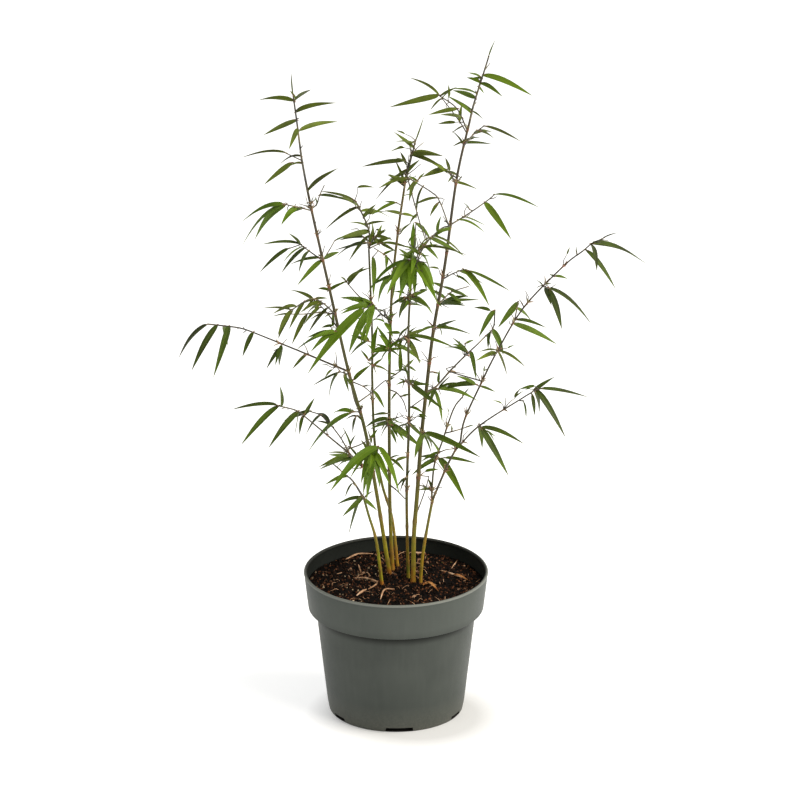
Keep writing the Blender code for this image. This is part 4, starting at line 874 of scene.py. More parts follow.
def leaf_sheath(root, along, chord, rng):
    """The papery sheath that clasps the twig under a leaf's root."""
    way = (along * SHEATH_ALONG + chord.normalized()).normalized()
    length = rng.uniform(*LEAF_SHEATHS) * MM
    return sheath(root - way * length * SHEATH_CLASP, way * length, square_to(UP, way))


def sheath(root, chord, face, breadth=1.0, bow=0.03, twist=0.0):
    """A folded papery sheath on this line, bowed over its face by a share of its length."""
    return Blade(root, chord, face, SHEATH_WIDTH * breadth * MM, SHEATH_THICK * MM, face * bow,
                 twist, math.radians(SHEATH_FOLD))


def any_way(rng, spread=1.0):
    """A vector that points anywhere, with parts up to the spread."""
    return Vector([rng.uniform(-spread, spread) for _ in range(3)])


def finer_growth(spray, path, growth, rng):
    """Short twigs that grow on from a stem, bare or with one or two small young leaves: many
    on the canes in the middle, few on the others."""
    length = lengths_along(path)[-1] / MM
    kind = INNER_TWIGS if spray.host in DENSE_HOSTS else OUTER_TWIGS
    for _ in range(round(length / kind.spacing) + 1):
        start, along = point_along(path, rng.uniform(*FINER_PLACES))
        bare_twig(start, along, growth, spray.tone, kind, rng)


def bare_twig(start, along, growth, tone, kind, rng):
    """One thin twig with a bend in it, and perhaps a small leaf or two at its end."""
    outward = square_to(any_way(rng), along)
    length = rng.uniform(*kind.lengths) * MM
    way = (along * rng.uniform(*FINER_LEANS) + outward + UP * FINER_RISE).normalized()
    bend = way + any_way(rng, FINER_BEND)
    middle = start + way * length / 2
    end = middle + bend.normalized() * length / 2
    growth.twigs.append(([start, middle, end], [size / 2 * MM for size in FINER_THICK]))
    for _ in range(rng.choices((0, 1, 2), kind.leaf_odds)[0]):
        strays = Vector([rng.uniform(*spread) for spread in FINER_STRAYS])
        chord = (way + strays).normalized() * rng.uniform(*FINER_LEAVES) * MM
        growth.leaves[tone].append(make_blade(end, chord, LEAF_FACE, tone, rng))


def joints_of(limb, limbs):
    """Where the joints of a cane or bough lie, as distances from its foot in metres."""
    path = limbs[limb.name][0]
    lengths = lengths_along(path)
    branches = sorted(length_at(path, lengths, child.at) for child in CANES + BOUGHS + SPRAYS
                      if child.host == limb.name and child.at != TIP)
    joints = []
    for branch in branches:
        if not joints or branch - joints[-1] > JOINT_MERGE * MM:
            joints.append(branch)
    first = FIRST_JOINT * MM if limb.host == "soil" else lengths[-1] * FIRST_BOUGH_JOINT
    marks = [first] if not joints or joints[0] > first + JOINT_MERGE * MM else []
    for joint in joints + [lengths[-1]]:
        if marks:
            gaps = math.ceil((joint - marks[-1]) / (JOINT_SPACING * MM))
            start = marks[-1]
            marks += [start + (joint - start) * k / gaps for k in range(1, gaps)]
        if joint < lengths[-1]:
            marks.append(joint)
    return marks


def length_at(path, lengths, at):
    """How far along a limb the height "at" of the front view lies."""
    for point, length in zip(path, lengths):
        if view_up(point) >= at:
            return length
    return lengths[-1]


def place_at(path, lengths, length):
    """The point, direction and index of a path at a distance from its foot."""
    for k, (a, b) in enumerate(zip(path, path[1:])):
        if lengths[k + 1] >= length:
            share = (length - lengths[k]) / (lengths[k + 1] - lengths[k])
            return a.lerp(b, share), (b - a).normalized(), k
    return path[-1], (path[-1] - path[-2]).normalized(), len(path) - 2


def dress_joints(limb, limbs, growth):
    """A ring, papery sheaths and a few short twigs at each joint of a limb."""
    rng = random.Random(limb.name + " joints")
    path, radii = limbs[limb.name]
    lengths = lengths_along(path)
    for joint in joints_of(limb, limbs):
        point, along, k = place_at(path, lengths, joint)
        high = point.z > (SOIL_TOP + BARE_FOOT) * MM
        growth.rings.append((point, along, radii[k] * (1.0 if high else LOW_RING)))
        if not high:
            continue
        for _ in range(rng.randint(*SHEATHS_PER_JOINT)):
            outward = square_to(any_way(rng), along)
            way = (along + outward * rng.uniform(*SHEATH_LEANS)).normalized()
            chord = way * rng.uniform(*CANE_SHEATHS) * MM
            growth.sheaths.append(sheath(
                point + outward * radii[k] * 0.7, chord, -square_to(outward, chord),
                CANE_SHEATH_BREADTH, bow=0.08, twist=0.2))
        tone = "olive" if rng.random() < 0.5 else "mid"
        for _ in range(rng.choices((0, 1, 2, 3), JOINT_TWIG_ODDS)[0]):
            bare_twig(point, along, growth, tone, INNER_TWIGS, rng)


def show(name, data):
    """Put an object with this data in the scene."""
    thing = bpy.data.objects.new(name, data)
    bpy.context.scene.collection.objects.link(thing)
    return thing


def add_piece(name, mesh, material, slot, *nodes):
    """Put a finished mesh in the scene, on the plant's one body, in place of these nodes."""
    piece = show(name, mesh)
    mesh.materials.clear()
    mesh.materials.append(material)
    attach(piece, BODY)
    if nodes:
        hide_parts(*nodes)


def new_mesh(name, verts, faces=(), edges=(), **stored):
    """A mesh of points, edges and faces, with numbers or vectors stored on its points."""
    mesh = bpy.data.meshes.new(name)
    mesh.from_pydata(verts, edges, faces)
    for title, values in stored.items():
        flat = np.array(values, dtype=np.float32).ravel()
        kind, field = "FLOAT", "value"
        if len(flat) > len(verts):
            kind, field = "FLOAT_VECTOR", "vector"
        mesh.attributes.new(title, kind, "POINT").data.foreach_set(field, flat)
    return mesh


def ring_faces(base, sides, rings):
    """Quads between rings of points that follow one another, so many points to a ring."""
    faces = []
    for low in range(base, base + (rings - 1) * sides, sides):
        for k in range(sides):
            after = (k + 1) % sides
            faces.append((low + k, low + sides + k, low + sides + after, low + after))
    return faces


def shape_of(mesh):
    """A mesh's shape, opened for editing."""
    shape = bmesh.new()
    shape.from_mesh(mesh)
    return shape


def keep_shape(shape, mesh):
    """Write an edited shape into a mesh and hand it on."""
    shape.to_mesh(mesh)
    shape.free()
    return mesh


def plain_mesh(thing, name):
    """The mesh that an object's modifiers make. The object and its own mesh are removed."""
    depsgraph = bpy.context.evaluated_depsgraph_get()
    mesh = bpy.data.meshes.new_from_object(thing.evaluated_get(depsgraph))
    mesh.name = name
    thing.modifiers.clear()
    bpy.data.objects.remove(thing)
    return mesh


def add_node(tree, kind, inputs=None, **settings):
    """Add a node with its settings. An input is a value, or another node's socket."""
    node = tree.nodes.new(kind)
    for name, value in settings.items():
        setattr(node, name, value)
    for key, value in (inputs or {}).items():
        if isinstance(value, bpy.types.NodeSocket):
            tree.links.new(value, node.inputs[key])
        else:
            node.inputs[key].default_value = value
    return node


def node_tree(name, **inputs):
    """A geometry node tree with one named input of each kind given."""
    tree = bpy.data.node_groups.new(name, "GeometryNodeTree")
    tree.interface.new_socket("Geometry", in_out="OUTPUT", socket_type="NodeSocketGeometry")
    for title, kind in {"Geometry": "Geometry", **inputs}.items():
        tree.interface.new_socket(title, in_out="INPUT", socket_type="NodeSocket" + kind)
    return tree, tree.nodes.new("NodeGroupInput").outputs


def run_tree(mesh, tree, values, name):
    """The plain mesh that a tree makes of this one, with these values for its inputs."""
    thing = show(name, mesh)
    modifier = thing.modifiers.new(name, "NODES")
    modifier.node_group = tree
    sockets = {item.name: item.identifier for item in tree.interface.items_tree
               if item.in_out == "INPUT"}
    for title, value in values.items():
        modifier[sockets[title]] = value
    return plain_mesh(thing, name)


def close_tree(tree, geometry, material):
    """End a tree in Realize Instances and Set Material."""
    real = add_node(tree, "GeometryNodeRealizeInstances", {"Geometry": geometry})
    painted = add_node(tree, "GeometryNodeSetMaterial",
                       {"Geometry": real.outputs[0], "Material": material})
    add_node(tree, "NodeGroupOutput", {"Geometry": painted.outputs[0]})


def tube_tree():
    """Thin limbs: a round tube of the stored radius along every path."""
    tree, given = node_tree("thin_limbs", Sides="Int", Material="Material")
    paths = add_node(tree, "GeometryNodeMeshToCurve", {"Mesh": given["Geometry"]})
    circle = add_node(tree, "GeometryNodeCurvePrimitiveCircle",
                      {"Resolution": given["Sides"], "Radius": 1.0})
    thick = add_node(tree, "GeometryNodeInputNamedAttribute", {"Name": "thick"}, data_type="FLOAT")
    tubes = add_node(tree, "GeometryNodeCurveToMesh", {
        "Curve": paths.outputs[0], "Profile Curve": circle.outputs[0],
        "Scale": thick.outputs["Attribute"], "Fill Caps": True})
    smooth = add_node(tree, "GeometryNodeSetShadeSmooth", {"Geometry": tubes.outputs[0]})
    close_tree(tree, smooth.outputs[0], given["Material"])
    return tree


def paths_mesh(paths):
    """All paths as one mesh of edges that carries each point's radius."""
    points, edges, thick = [], [], []
    for path, radii in paths:
        base = len(points)
        points += path
        thick += radii
        edges += [(base + k, base + k + 1) for k in range(len(path) - 1)]
    return new_mesh("paths", points, edges=edges, thick=thick)


def copies_tree():
    """Copies of one small shape, one on each point, at its stored turn and size."""
    tree, given = node_tree("copies_on_points", Shapes="Collection", Material="Material")
    shapes = add_node(tree, "GeometryNodeCollectionInfo", {
        "Collection": given["Shapes"], "Separate Children": True, "Reset Children": True})
    turn, size = [
        add_node(tree, "GeometryNodeInputNamedAttribute", {"Name": title},
                 data_type="FLOAT_VECTOR").outputs["Attribute"] for title in ("turn", "size")]
    rotation = add_node(tree, "FunctionNodeEulerToRotation", {"Euler": turn})
    copies = add_node(tree, "GeometryNodeInstanceOnPoints", {
        "Points": given["Geometry"], "Instance": shapes.outputs[0],
        "Rotation": rotation.outputs[0], "Scale": size})
    close_tree(tree, copies.outputs[0], given["Material"])
    return tree


def crumbs_tree():
    """Crumbs strewn on the soil: random copies of a few shapes, each turned and scaled."""
    tree, given = node_tree("strewn_crumbs", Density="Float", Smallest="Float", Largest="Float",
                            Tilt="Float", Seed="Int", Shapes="Collection", Material="Material")
    points = add_node(tree, "GeometryNodeDistributePointsOnFaces", {
        "Mesh": given["Geometry"], "Density": given["Density"], "Seed": given["Seed"]})
    shapes = add_node(tree, "GeometryNodeCollectionInfo", {
        "Collection": given["Shapes"], "Separate Children": True, "Reset Children": True})
    low = add_node(tree, "ShaderNodeMath", {0: given["Tilt"], 1: -1.0}, operation="MULTIPLY")
    lowest, highest = [
        add_node(tree, "ShaderNodeCombineXYZ", {"X": tilt, "Y": tilt, "Z": spin}).outputs[0]
        for tilt, spin in ((low.outputs[0], -math.pi), (given["Tilt"], math.pi))]
    turn = add_node(tree, "FunctionNodeRandomValue", {
        0: lowest, 1: highest, "Seed": given["Seed"]}, data_type="FLOAT_VECTOR")
    rotation = add_node(tree, "FunctionNodeEulerToRotation", {"Euler": turn.outputs[0]})
    size = add_node(tree, "FunctionNodeRandomValue", {
        2: given["Smallest"], 3: given["Largest"], "Seed": given["Seed"]}, data_type="FLOAT")
    copies = add_node(tree, "GeometryNodeInstanceOnPoints", {
        "Points": points.outputs[0], "Instance": shapes.outputs[0], "Pick Instance": True,
        "Rotation": rotation.outputs[0], "Scale": size.outputs[1]})
    shade = add_node(tree, "FunctionNodeRandomValue", {"Seed": SHADE_SEED}, data_type="FLOAT")
    shaded = add_node(tree, "GeometryNodeStoreNamedAttribute", {
        "Geometry": copies.outputs[0], "Name": "shade", "Value": shade.outputs[1]},
        data_type="FLOAT", domain="INSTANCE")
    close_tree(tree, shaded.outputs[0], given["Material"])
    return tree


def shape_collection(name, meshes):
    """A collection of small shapes for a tree to copy, kept out of the scene."""
    group = bpy.data.collections.new(name)
    for mesh in meshes:
        group.objects.link(bpy.data.objects.new(name, mesh))
    return group


def drop_collection(group):
    """Remove a collection of shapes once a tree has copied them."""
    for thing in list(group.objects):
        bpy.data.objects.remove(thing)
    bpy.data.collections.remove(group)


def blade_outline():
    """Where a blade's rings lie along it, and its width there as a share of its widest."""
    t = np.array(BLADE_PLACES)
    peak = BLADE_RISE / (BLADE_RISE + BLADE_FALL)
    share = t ** BLADE_RISE * (1 - t) ** BLADE_FALL
    return t, np.maximum(share / (peak ** BLADE_RISE * (1 - peak) ** BLADE_FALL), 2 * PETIOLE)


def blade_points(blade, t, share):
    """A blade's points, ring by ring and then its tip: two halves that stand up from the
    midrib, bowed and twisted along its line."""
    length = blade.chord.length
    along = np.array(blade.chord / length)
    normal = np.array(blade.normal)
    side = np.cross(normal, along)
    half = share * blade.width / 2
    turn = blade.twist * (t - TWIST_MIDDLE)
    middle = (np.array(blade.root) + np.outer(t, along) * length
              + np.outer(np.sin(math.pi * t ** BOW_LEAN) * length, blade.bow))
    out_way = np.outer(np.cos(turn), side) + np.outer(np.sin(turn), normal)
    up_way = np.outer(np.cos(turn), normal) - np.outer(np.sin(turn), side)
    points = []
    for ring in range(len(t)):
        out = RING_ACROSS * half[ring] * math.cos(blade.fold)
        rise = (np.abs(RING_ACROSS) * math.sin(blade.fold) + RING_BULGE) * half[ring]
        drop = RING_UNDER * blade.thick + RING_KEEL * share[ring]
        points += (middle[ring] + np.outer(out, out_way[ring])
                   + np.outer(rise - drop, up_way[ring])).tolist()
    return points + [(np.array(blade.root) + along * length).tolist()]


def blades_mesh(name, blades):
    """All blades of one kind as one mesh of thin closed leaves."""
    t, share = blade_outline()
    sides = len(RING_ACROSS)
    verts, faces = [], []
    for blade in blades:
        base = len(verts)
        verts += blade_points(blade, t, share)
        tip = len(verts) - 1
        faces.append(tuple(range(base, base + sides)))
        faces += ring_faces(base, sides, len(t))
        last = tip - sides
        faces += [(last + k, tip, last + (k + 1) % sides) for k in range(sides)]
    spots = [((x + 1) / 2, place) for place in t for x in RING_ACROSS] + [(0.5, 1.0)]
    under = [*RING_UNDER] * len(t) + [0]
    mesh = new_mesh(name, verts, faces, underside=under * len(blades),
                    shade=[blade.shade for blade in blades for _ in under])
    corners = np.zeros(len(mesh.loops), dtype=np.int32)
    mesh.loops.foreach_get("vertex_index", corners)
    layer = mesh.uv_layers.new(name="blade")
    layer.data.foreach_set("uv", np.array(spots * len(blades), dtype=np.float32)[corners].ravel())
    shape = shape_of(mesh)
    bmesh.ops.recalc_face_normals(shape, faces=shape.faces)
    keep_shape(shape, mesh)
    mesh.shade_smooth()
    mesh.set_sharp_from_angle(angle=BLADE_CREASE)
    return mesh


def cane_mesh(limb, limbs):
    """A cane or bough with swollen joints and a shallow groove over each of them."""
    path, radii = limbs[limb.name]
    lengths = lengths_along(path)
    joints = joints_of(limb, limbs)
    sides = CANE_SIDES if limb.host == "soil" else BOUGH_SIDES
    spans = [(b - a).normalized() for a, b in zip(path, path[1:])]
    ways = [spans[0], *[(a + b).normalized() for a, b in zip(spans, spans[1:])], spans[-1]]
    side = ways[0].orthogonal().normalized()
    verts, near = [], []
    for point, way, radius, length in zip(path, ways, radii, lengths):
        side = square_to(side, way)
        other = way.cross(side)
        below = max([k for k, joint in enumerate(joints) if joint <= length], default=-1)
        over = (length - joints[below]) / MM if below >= 0 else JOINT_SPACING
        gap = min((abs(length - joint) / MM for joint in joints), default=JOINT_SPACING)
        swell = 1 + JOINT_SWELL * math.exp(-(gap / JOINT_REACH) ** 2)
        depth = GROOVE * max(0.0, 1 - over / JOINT_SPACING) * min(1.0, over / JOINT_REACH)
        near += [math.exp(-gap / JOINT_BLOOM)] * sides
        for k in range(sides):
            turn = 2 * math.pi * k / sides
            off = abs((turn - math.pi * (below % 2) + math.pi) % (2 * math.pi) - math.pi)
            relief = swell - depth * math.exp(-(off / GROOVE_WIDTH) ** 2)
            out = side * math.cos(turn) + other * math.sin(turn)
            verts.append(point + out * radius * relief)
    faces = [tuple(reversed(range(sides)))]
    faces += [(a, d, c, b) for a, b, c, d in ring_faces(0, sides, len(path))]
    faces.append(tuple(range(len(verts) - sides, len(verts))))
    mesh = new_mesh(limb.name, verts, faces, near_joint=near)
    mesh.shade_smooth()
    return mesh


def turned_mesh(name, profile, sides):
    """A closed solid of revolution from (radius, height) points, bottom centre first."""
    verts, faces, rings = [], [], []
    for radius, height in profile:
        if radius == 0:
            rings.append([len(verts)] * sides)
            verts.append((0, 0, height))
            continue
        rings.append(list(range(len(verts), len(verts) + sides)))
        turns = [2 * math.pi * (k + 0.5) / sides for k in range(sides)]
        verts += [(radius * math.cos(turn), radius * math.sin(turn), height) for turn in turns]
    for lower, upper in zip(rings, rings[1:]):
        for k in range(sides):
            after = (k + 1) % sides
            corners = (lower[k], lower[after], upper[after], upper[k])
            faces.append(tuple(dict.fromkeys(corners)))
    return new_mesh(name, verts, faces)


def wall_radius(height):
    """The pot's outer radius at a height, along its body or its band."""
    band_foot = POT_HEIGHT - BAND_HEIGHT
    if height >= band_foot:
        share = (height - band_foot) / BAND_HEIGHT
        return BAND_FOOT_RADIUS + (RIM_RADIUS - BAND_FOOT_RADIUS) * share
    return BODY_FOOT_RADIUS + (BODY_TOP_RADIUS - BODY_FOOT_RADIUS) * height / band_foot


def arc(across, up, radius, start, end, steps=6):
    """Points of a round corner in a profile, about this centre, between two angles."""
    points = []
    for step in range(steps + 1):
        turn = math.radians(start + (end - start) * step / steps)
        points.append((across + radius * math.cos(turn), up + radius * math.sin(turn)))
    return points


def pot_profile():
    """The pot's section from the middle of its underside, out, up, over the lip and in."""
    band_foot = POT_HEIGHT - BAND_HEIGHT
    ring_inside = FOOT_RADIUS - FOOT_RING
    lip = WALL / 2
    bead_foot = POT_HEIGHT - LIP_BEAD * 2
    section = [(0, FOOT_HOLLOW), (ring_inside - 1, FOOT_HOLLOW), (ring_inside, 0.6),
               (ring_inside + 0.6, 0)]
    section += arc(FOOT_RADIUS - 0.5, 2.4, 2.4, -90, -8)
    section += [(wall_radius(height), height) for height in (12, 40, 80, 110)]
    section += [(BODY_TOP_RADIUS, band_foot + SKIRT), (BAND_FOOT_RADIUS - WALL, band_foot + SKIRT)]
    section += arc(BAND_FOOT_RADIUS - lip, band_foot + lip, lip, -180, 0, 8)
    section += [(wall_radius(height), height) for height in (142, 158, 170)]
    section += [(wall_radius(bead_foot) - LIP_GROOVE, bead_foot)]
    section += arc(RIM_RADIUS - LIP_BEAD, POT_HEIGHT - LIP_BEAD, LIP_BEAD, -60, 240, 16)
    shelf = band_foot + SKIRT + WALL
    section += [(wall_radius(height) - WALL, height) for height in (174, 160, shelf + 3)]
    section += [(BODY_TOP_RADIUS, shelf), (BODY_TOP_RADIUS - WALL, shelf - 2)]
    section += [(wall_radius(height) - WALL, height) for height in (100, FLOOR)] + [(0, FLOOR)]
    return [(radius * MM, height * MM) for radius, height in section]


def notch_cutters():
    """The blocks that cut the notches in the pot's foot ring, as one mesh."""
    shape = bmesh.new()
    for k in range(NOTCH_COUNT):
        turn = Matrix.Rotation(math.radians(-90 + NOTCH_TURN + 360 / NOTCH_COUNT * k), 4, "Z")
        for corner in bmesh.ops.create_cube(shape, size=1.0)["verts"]:
            high = corner.co.z > 0
            half = NOTCH_WIDTHS[k % 2] / 2 - (NOTCH_SLOPE if high else 0.0)
            out = FOOT_RADIUS + corner.co.x * 2 * (FOOT_RING + 3)
            up = NOTCH_HEIGHT if high else -2.0
            corner.co = turn @ (Vector((out, corner.co.y * 2 * half, up)) * MM)
    return keep_shape(shape, bpy.data.meshes.new("notch_cutters"))


def make_pot():
    """The pot's shell, with its notches cut."""
    shell = show("pot_shell", turned_mesh("pot_shell", pot_profile(), POT_SIDES))
    cutter = show("notch_cutters", notch_cutters())
    cut = shell.modifiers.new("notches", "BOOLEAN")
    cut.operation = "DIFFERENCE"
    cut.object = cutter
    cut.solver = "EXACT"
    mesh = plain_mesh(shell, "pot_shell")
    bpy.data.objects.remove(cutter)
    mesh.shade_smooth()
    mesh.set_sharp_from_angle(angle=POT_CREASE)
    add_piece("pot_shell", mesh, moulded_polypropylene(), "pot", "pot")


def soil_height(x, y):
    """How high the soil's top lies at a place, in millimetres: a low mound with lumps."""
    away = math.hypot(x, y) / wall_radius(SOIL_TOP)
    height = SOIL_TOP + SOIL_MOUND * (1 - 2 * away ** 2)
    for size, rise in SOIL_LUMPS:
        height += rise * noise.noise(Vector((x / size, y / size, size)))
    return height


def soil_mesh(name, stations=()):
    """The soil's lumpy top, its middle point first and then ring by ring. With (radius, height)
    stations it goes on down the pot's wall and is closed by a bottom."""
    edge = wall_radius(SOIL_TOP) - WALL - SOIL_GAP
    turns = [2 * math.pi * spoke / SOIL_SPOKES for spoke in range(SOIL_SPOKES)]
    verts = [on_soil(0, 0, 0)]
    for ring in range(1, SOIL_RINGS + 1):
        away = edge * ring / SOIL_RINGS
        verts += [on_soil(away * math.cos(turn), away * math.sin(turn), 0) for turn in turns]
    for radius, height in stations:
        verts += [Vector((radius * math.cos(turn), radius * math.sin(turn), height)) * MM
                  for turn in turns]
    faces = [(0, 1 + k, 1 + (k + 1) % SOIL_SPOKES) for k in range(SOIL_SPOKES)]
    faces += ring_faces(1, SOIL_SPOKES, SOIL_RINGS + len(stations))
    if stations:
        faces.append(tuple(reversed(range(len(verts) - SOIL_SPOKES, len(verts)))))
    mesh = new_mesh(name, verts, faces)
    mesh.shade_smooth()
    return mesh


def soil_body_mesh():
    """The whole filling of the pot, which clears its wall all the way down."""
    inset = WALL + SOIL_GAP
    shelf = POT_HEIGHT - BAND_HEIGHT + SKIRT + WALL + 4
    return soil_mesh("soil_body", (
        (wall_radius(shelf) - inset, shelf), (BODY_TOP_RADIUS - inset, shelf),
        (wall_radius(FLOOR) - inset, FLOOR + SOIL_GAP)))


def crumb_mesh(rng, stretch):
    """One rough crumb about one millimetre across, stretched along its own axes."""
    shape = bmesh.new()
    bmesh.ops.create_icosphere(shape, subdivisions=1, radius=0.5)
    for vert in shape.verts:
        vert.co = Vector([c * s * rng.uniform(*CRUMB_LUMPS) for c, s in zip(vert.co, stretch)]) * MM
    return keep_shape(shape, bpy.data.meshes.new("crumb"))


def strew(name, emitter, tree):
    """Strew crumbs of one kind over the soil as one piece, clear of the pot's wall."""
    material_name, numbers, stretch = STREWN[name]
    values = dict(zip(("Density", "Smallest", "Largest", "Tilt", "Seed"), numbers))
    keep = LIES_AT.get(name, lambda place: True)
    reach = wall_radius(SOIL_TOP) - WALL - values["Largest"] * stretch[0] * CRUMB_LUMPS[1] / 2
    rng = random.Random(name)
    shapes = shape_collection(name, [crumb_mesh(rng, stretch) for _ in range(CRUMB_SHAPES)])
    shape = shape_of(emitter)
    away = []
    for face in shape.faces:
        place = face.calc_center_median() / MM
        if math.hypot(place.x, place.y) > reach or not keep(place):
            away.append(face)
    bmesh.ops.delete(shape, geom=away, context="FACES")
    ground = keep_shape(shape, bpy.data.meshes.new(name))
    material = crumbly(material_name)
    mesh = run_tree(ground, tree, {**values, "Shapes": shapes, "Material": material}, name)
    drop_collection(shapes)
    add_piece(name, mesh, material, "soil")


def on_soil(x, y, lift):
    """A point this far over the soil's top."""
    return Vector((x, y, soil_height(x, y) + lift)) * MM


def fibre_paths():
    """Fine curved fibres that lie every way on the soil."""
    rng = random.Random("fibres")
    paths = []
    reach = wall_radius(SOIL_TOP) - WALL - 8
    for _ in range(FIBRES):
        away = reach * math.sqrt(rng.random())
        turn = rng.uniform(0, 2 * math.pi)
        heading = rng.uniform(0, 2 * math.pi)
        bend = rng.uniform(-FIBRE_BEND, FIBRE_BEND)
        length = rng.uniform(*FIBRE_LENGTHS)
        thick = rng.uniform(*FIBRE_THICK)
        x, y = away * math.cos(turn), away * math.sin(turn)
        path = []
        for step in range(6):
            if math.hypot(x, y) > reach + 4:
                break
            path.append(on_soil(x, y, thick + 1.6 * math.sin(math.pi * step / 5)))
            x += length / 5 * math.cos(heading)
            y += length / 5 * math.sin(heading)
            heading += bend / 5
        if len(path) > 2:
            paths.append((path, [thick / 2 * MM] * (len(path) - 1) + [thick / 4 * MM]))
    return paths


def straw_paths():
    """The larger straws, each smoothed through its places and tapered to its ends."""
    paths = []
    for places, thick in STRAWS:
        path = smooth_path([on_soil(x, y, thick * 0.7) for x, y in places], 3.0)
        lengths = lengths_along(path)
        radii = [thick / 2 * MM * (0.45 + 0.55 * math.sin(math.pi * length / lengths[-1]))
                 for length in lengths]
        paths.append((path, radii))
    return paths


def make_soil(tubes):
    """The potting soil with its crumbs, bark chips, fibres, straws and flakes."""
    add_piece("soil_body", soil_body_mesh(), crumbly("moist_compost"), "soil", "soil")
    top = soil_mesh("soil_top")
    tree = crumbs_tree()
    for name in STREWN:
        strew(name, top, tree)
    straw = crumbly("dry_straw")
    for name, paths, sides in (("dry_fibres", fibre_paths(), 5), ("straws", straw_paths(), 7)):
        mesh = run_tree(paths_mesh(paths), tubes, {"Sides": sides, "Material": straw}, name)
        add_piece(name, mesh, straw, "soil")
    flakes = []
    for (x, y), (end_x, end_y), width in FLAKES:
        root = on_soil(x, y, 2.2)
        chord = on_soil(end_x, end_y, 1.4) - root
        face = square_to(UP, chord)
        flakes.append(Blade(root, chord, face, width * MM, 0.7 * MM, face * 0.1, 0.3, 0.2))
    add_piece("bark_flakes", blades_mesh("bark_flakes", flakes), crumbly("orange_bark"), "soil")


def linear(code):
    """A linear colour from an sRGB hex code such as "#5a6f2a"."""
    parts = [int(code[k:k + 2], 16) / 255 for k in (1, 3, 5)]
    return (*[p / 12.92 if p <= 0.04045 else ((p + 0.055) / 1.055) ** 2.4 for p in parts], 1.0)


class Surface(NamedTuple):
    """A material in the making, with the socket that gives the place on the object."""
    material: bpy.types.Material
    tree: bpy.types.NodeTree
    shader: bpy.types.Node
    place: bpy.types.NodeSocket


def new_surface(name, roughness, ior, **constants):
    """A Principled surface whose constants sit on the shader's own sockets."""
    material = bpy.data.materials.new(name)
    material.use_nodes = True
    tree = material.node_tree
    shader = tree.nodes["Principled BSDF"]
    for socket, value in {"Roughness": roughness, "IOR": ior, **constants}.items():
        shader.inputs[socket.replace("_", " ")].default_value = value
    place = add_node(tree, "ShaderNodeTexCoord").outputs["Object"]
    return Surface(material, tree, shader, place)


def set_stops(ramp, stops):
    """Give a colour ramp these (place, hex colour) stops and hand on its colour."""
    elements = ramp.color_ramp.elements
    while len(elements) < len(stops):
        elements.new(0.5)
    for element, (place, code) in zip(elements, stops):
        element.position = place
        element.color = linear(code)
    return ramp.outputs[0]


def patchy(surface, size, stops):
    """A colour that changes in soft patches of this size in millimetres."""
    cloud = add_node(surface.tree, "ShaderNodeTexNoise",
                     {"Vector": surface.place, "Scale": 1 / (size * MM), "Detail": 2.0})
    ramp = add_node(surface.tree, "ShaderNodeValToRGB", {"Fac": cloud.outputs["Fac"]})
    return set_stops(ramp, stops)


def finish_surface(surface, skin, coats=(), gloss=None, relief=None):
    """Lay coats of colour, as (share, hex colour), over a skin and link up the shader. The
    relief is a height, its strength and its depth in millimetres."""
    material, tree, shader, _ = surface
    for share, code in coats:
        coat = add_node(tree, "ShaderNodeMix", {0: share, MIX_A: skin, MIX_B: linear(code)},
                        data_type="RGBA")
        skin = coat.outputs[MIX_OUT]
    tree.links.new(skin, shader.inputs["Base Color"])
    if gloss:
        tree.links.new(gloss, shader.inputs["Roughness"])
    if relief:
        height, strength, depth = relief
        bump = add_node(tree, "ShaderNodeBump", {
            "Height": height, "Strength": strength, "Distance": depth * MM})
        tree.links.new(bump.outputs[0], shader.inputs["Normal"])
    return material


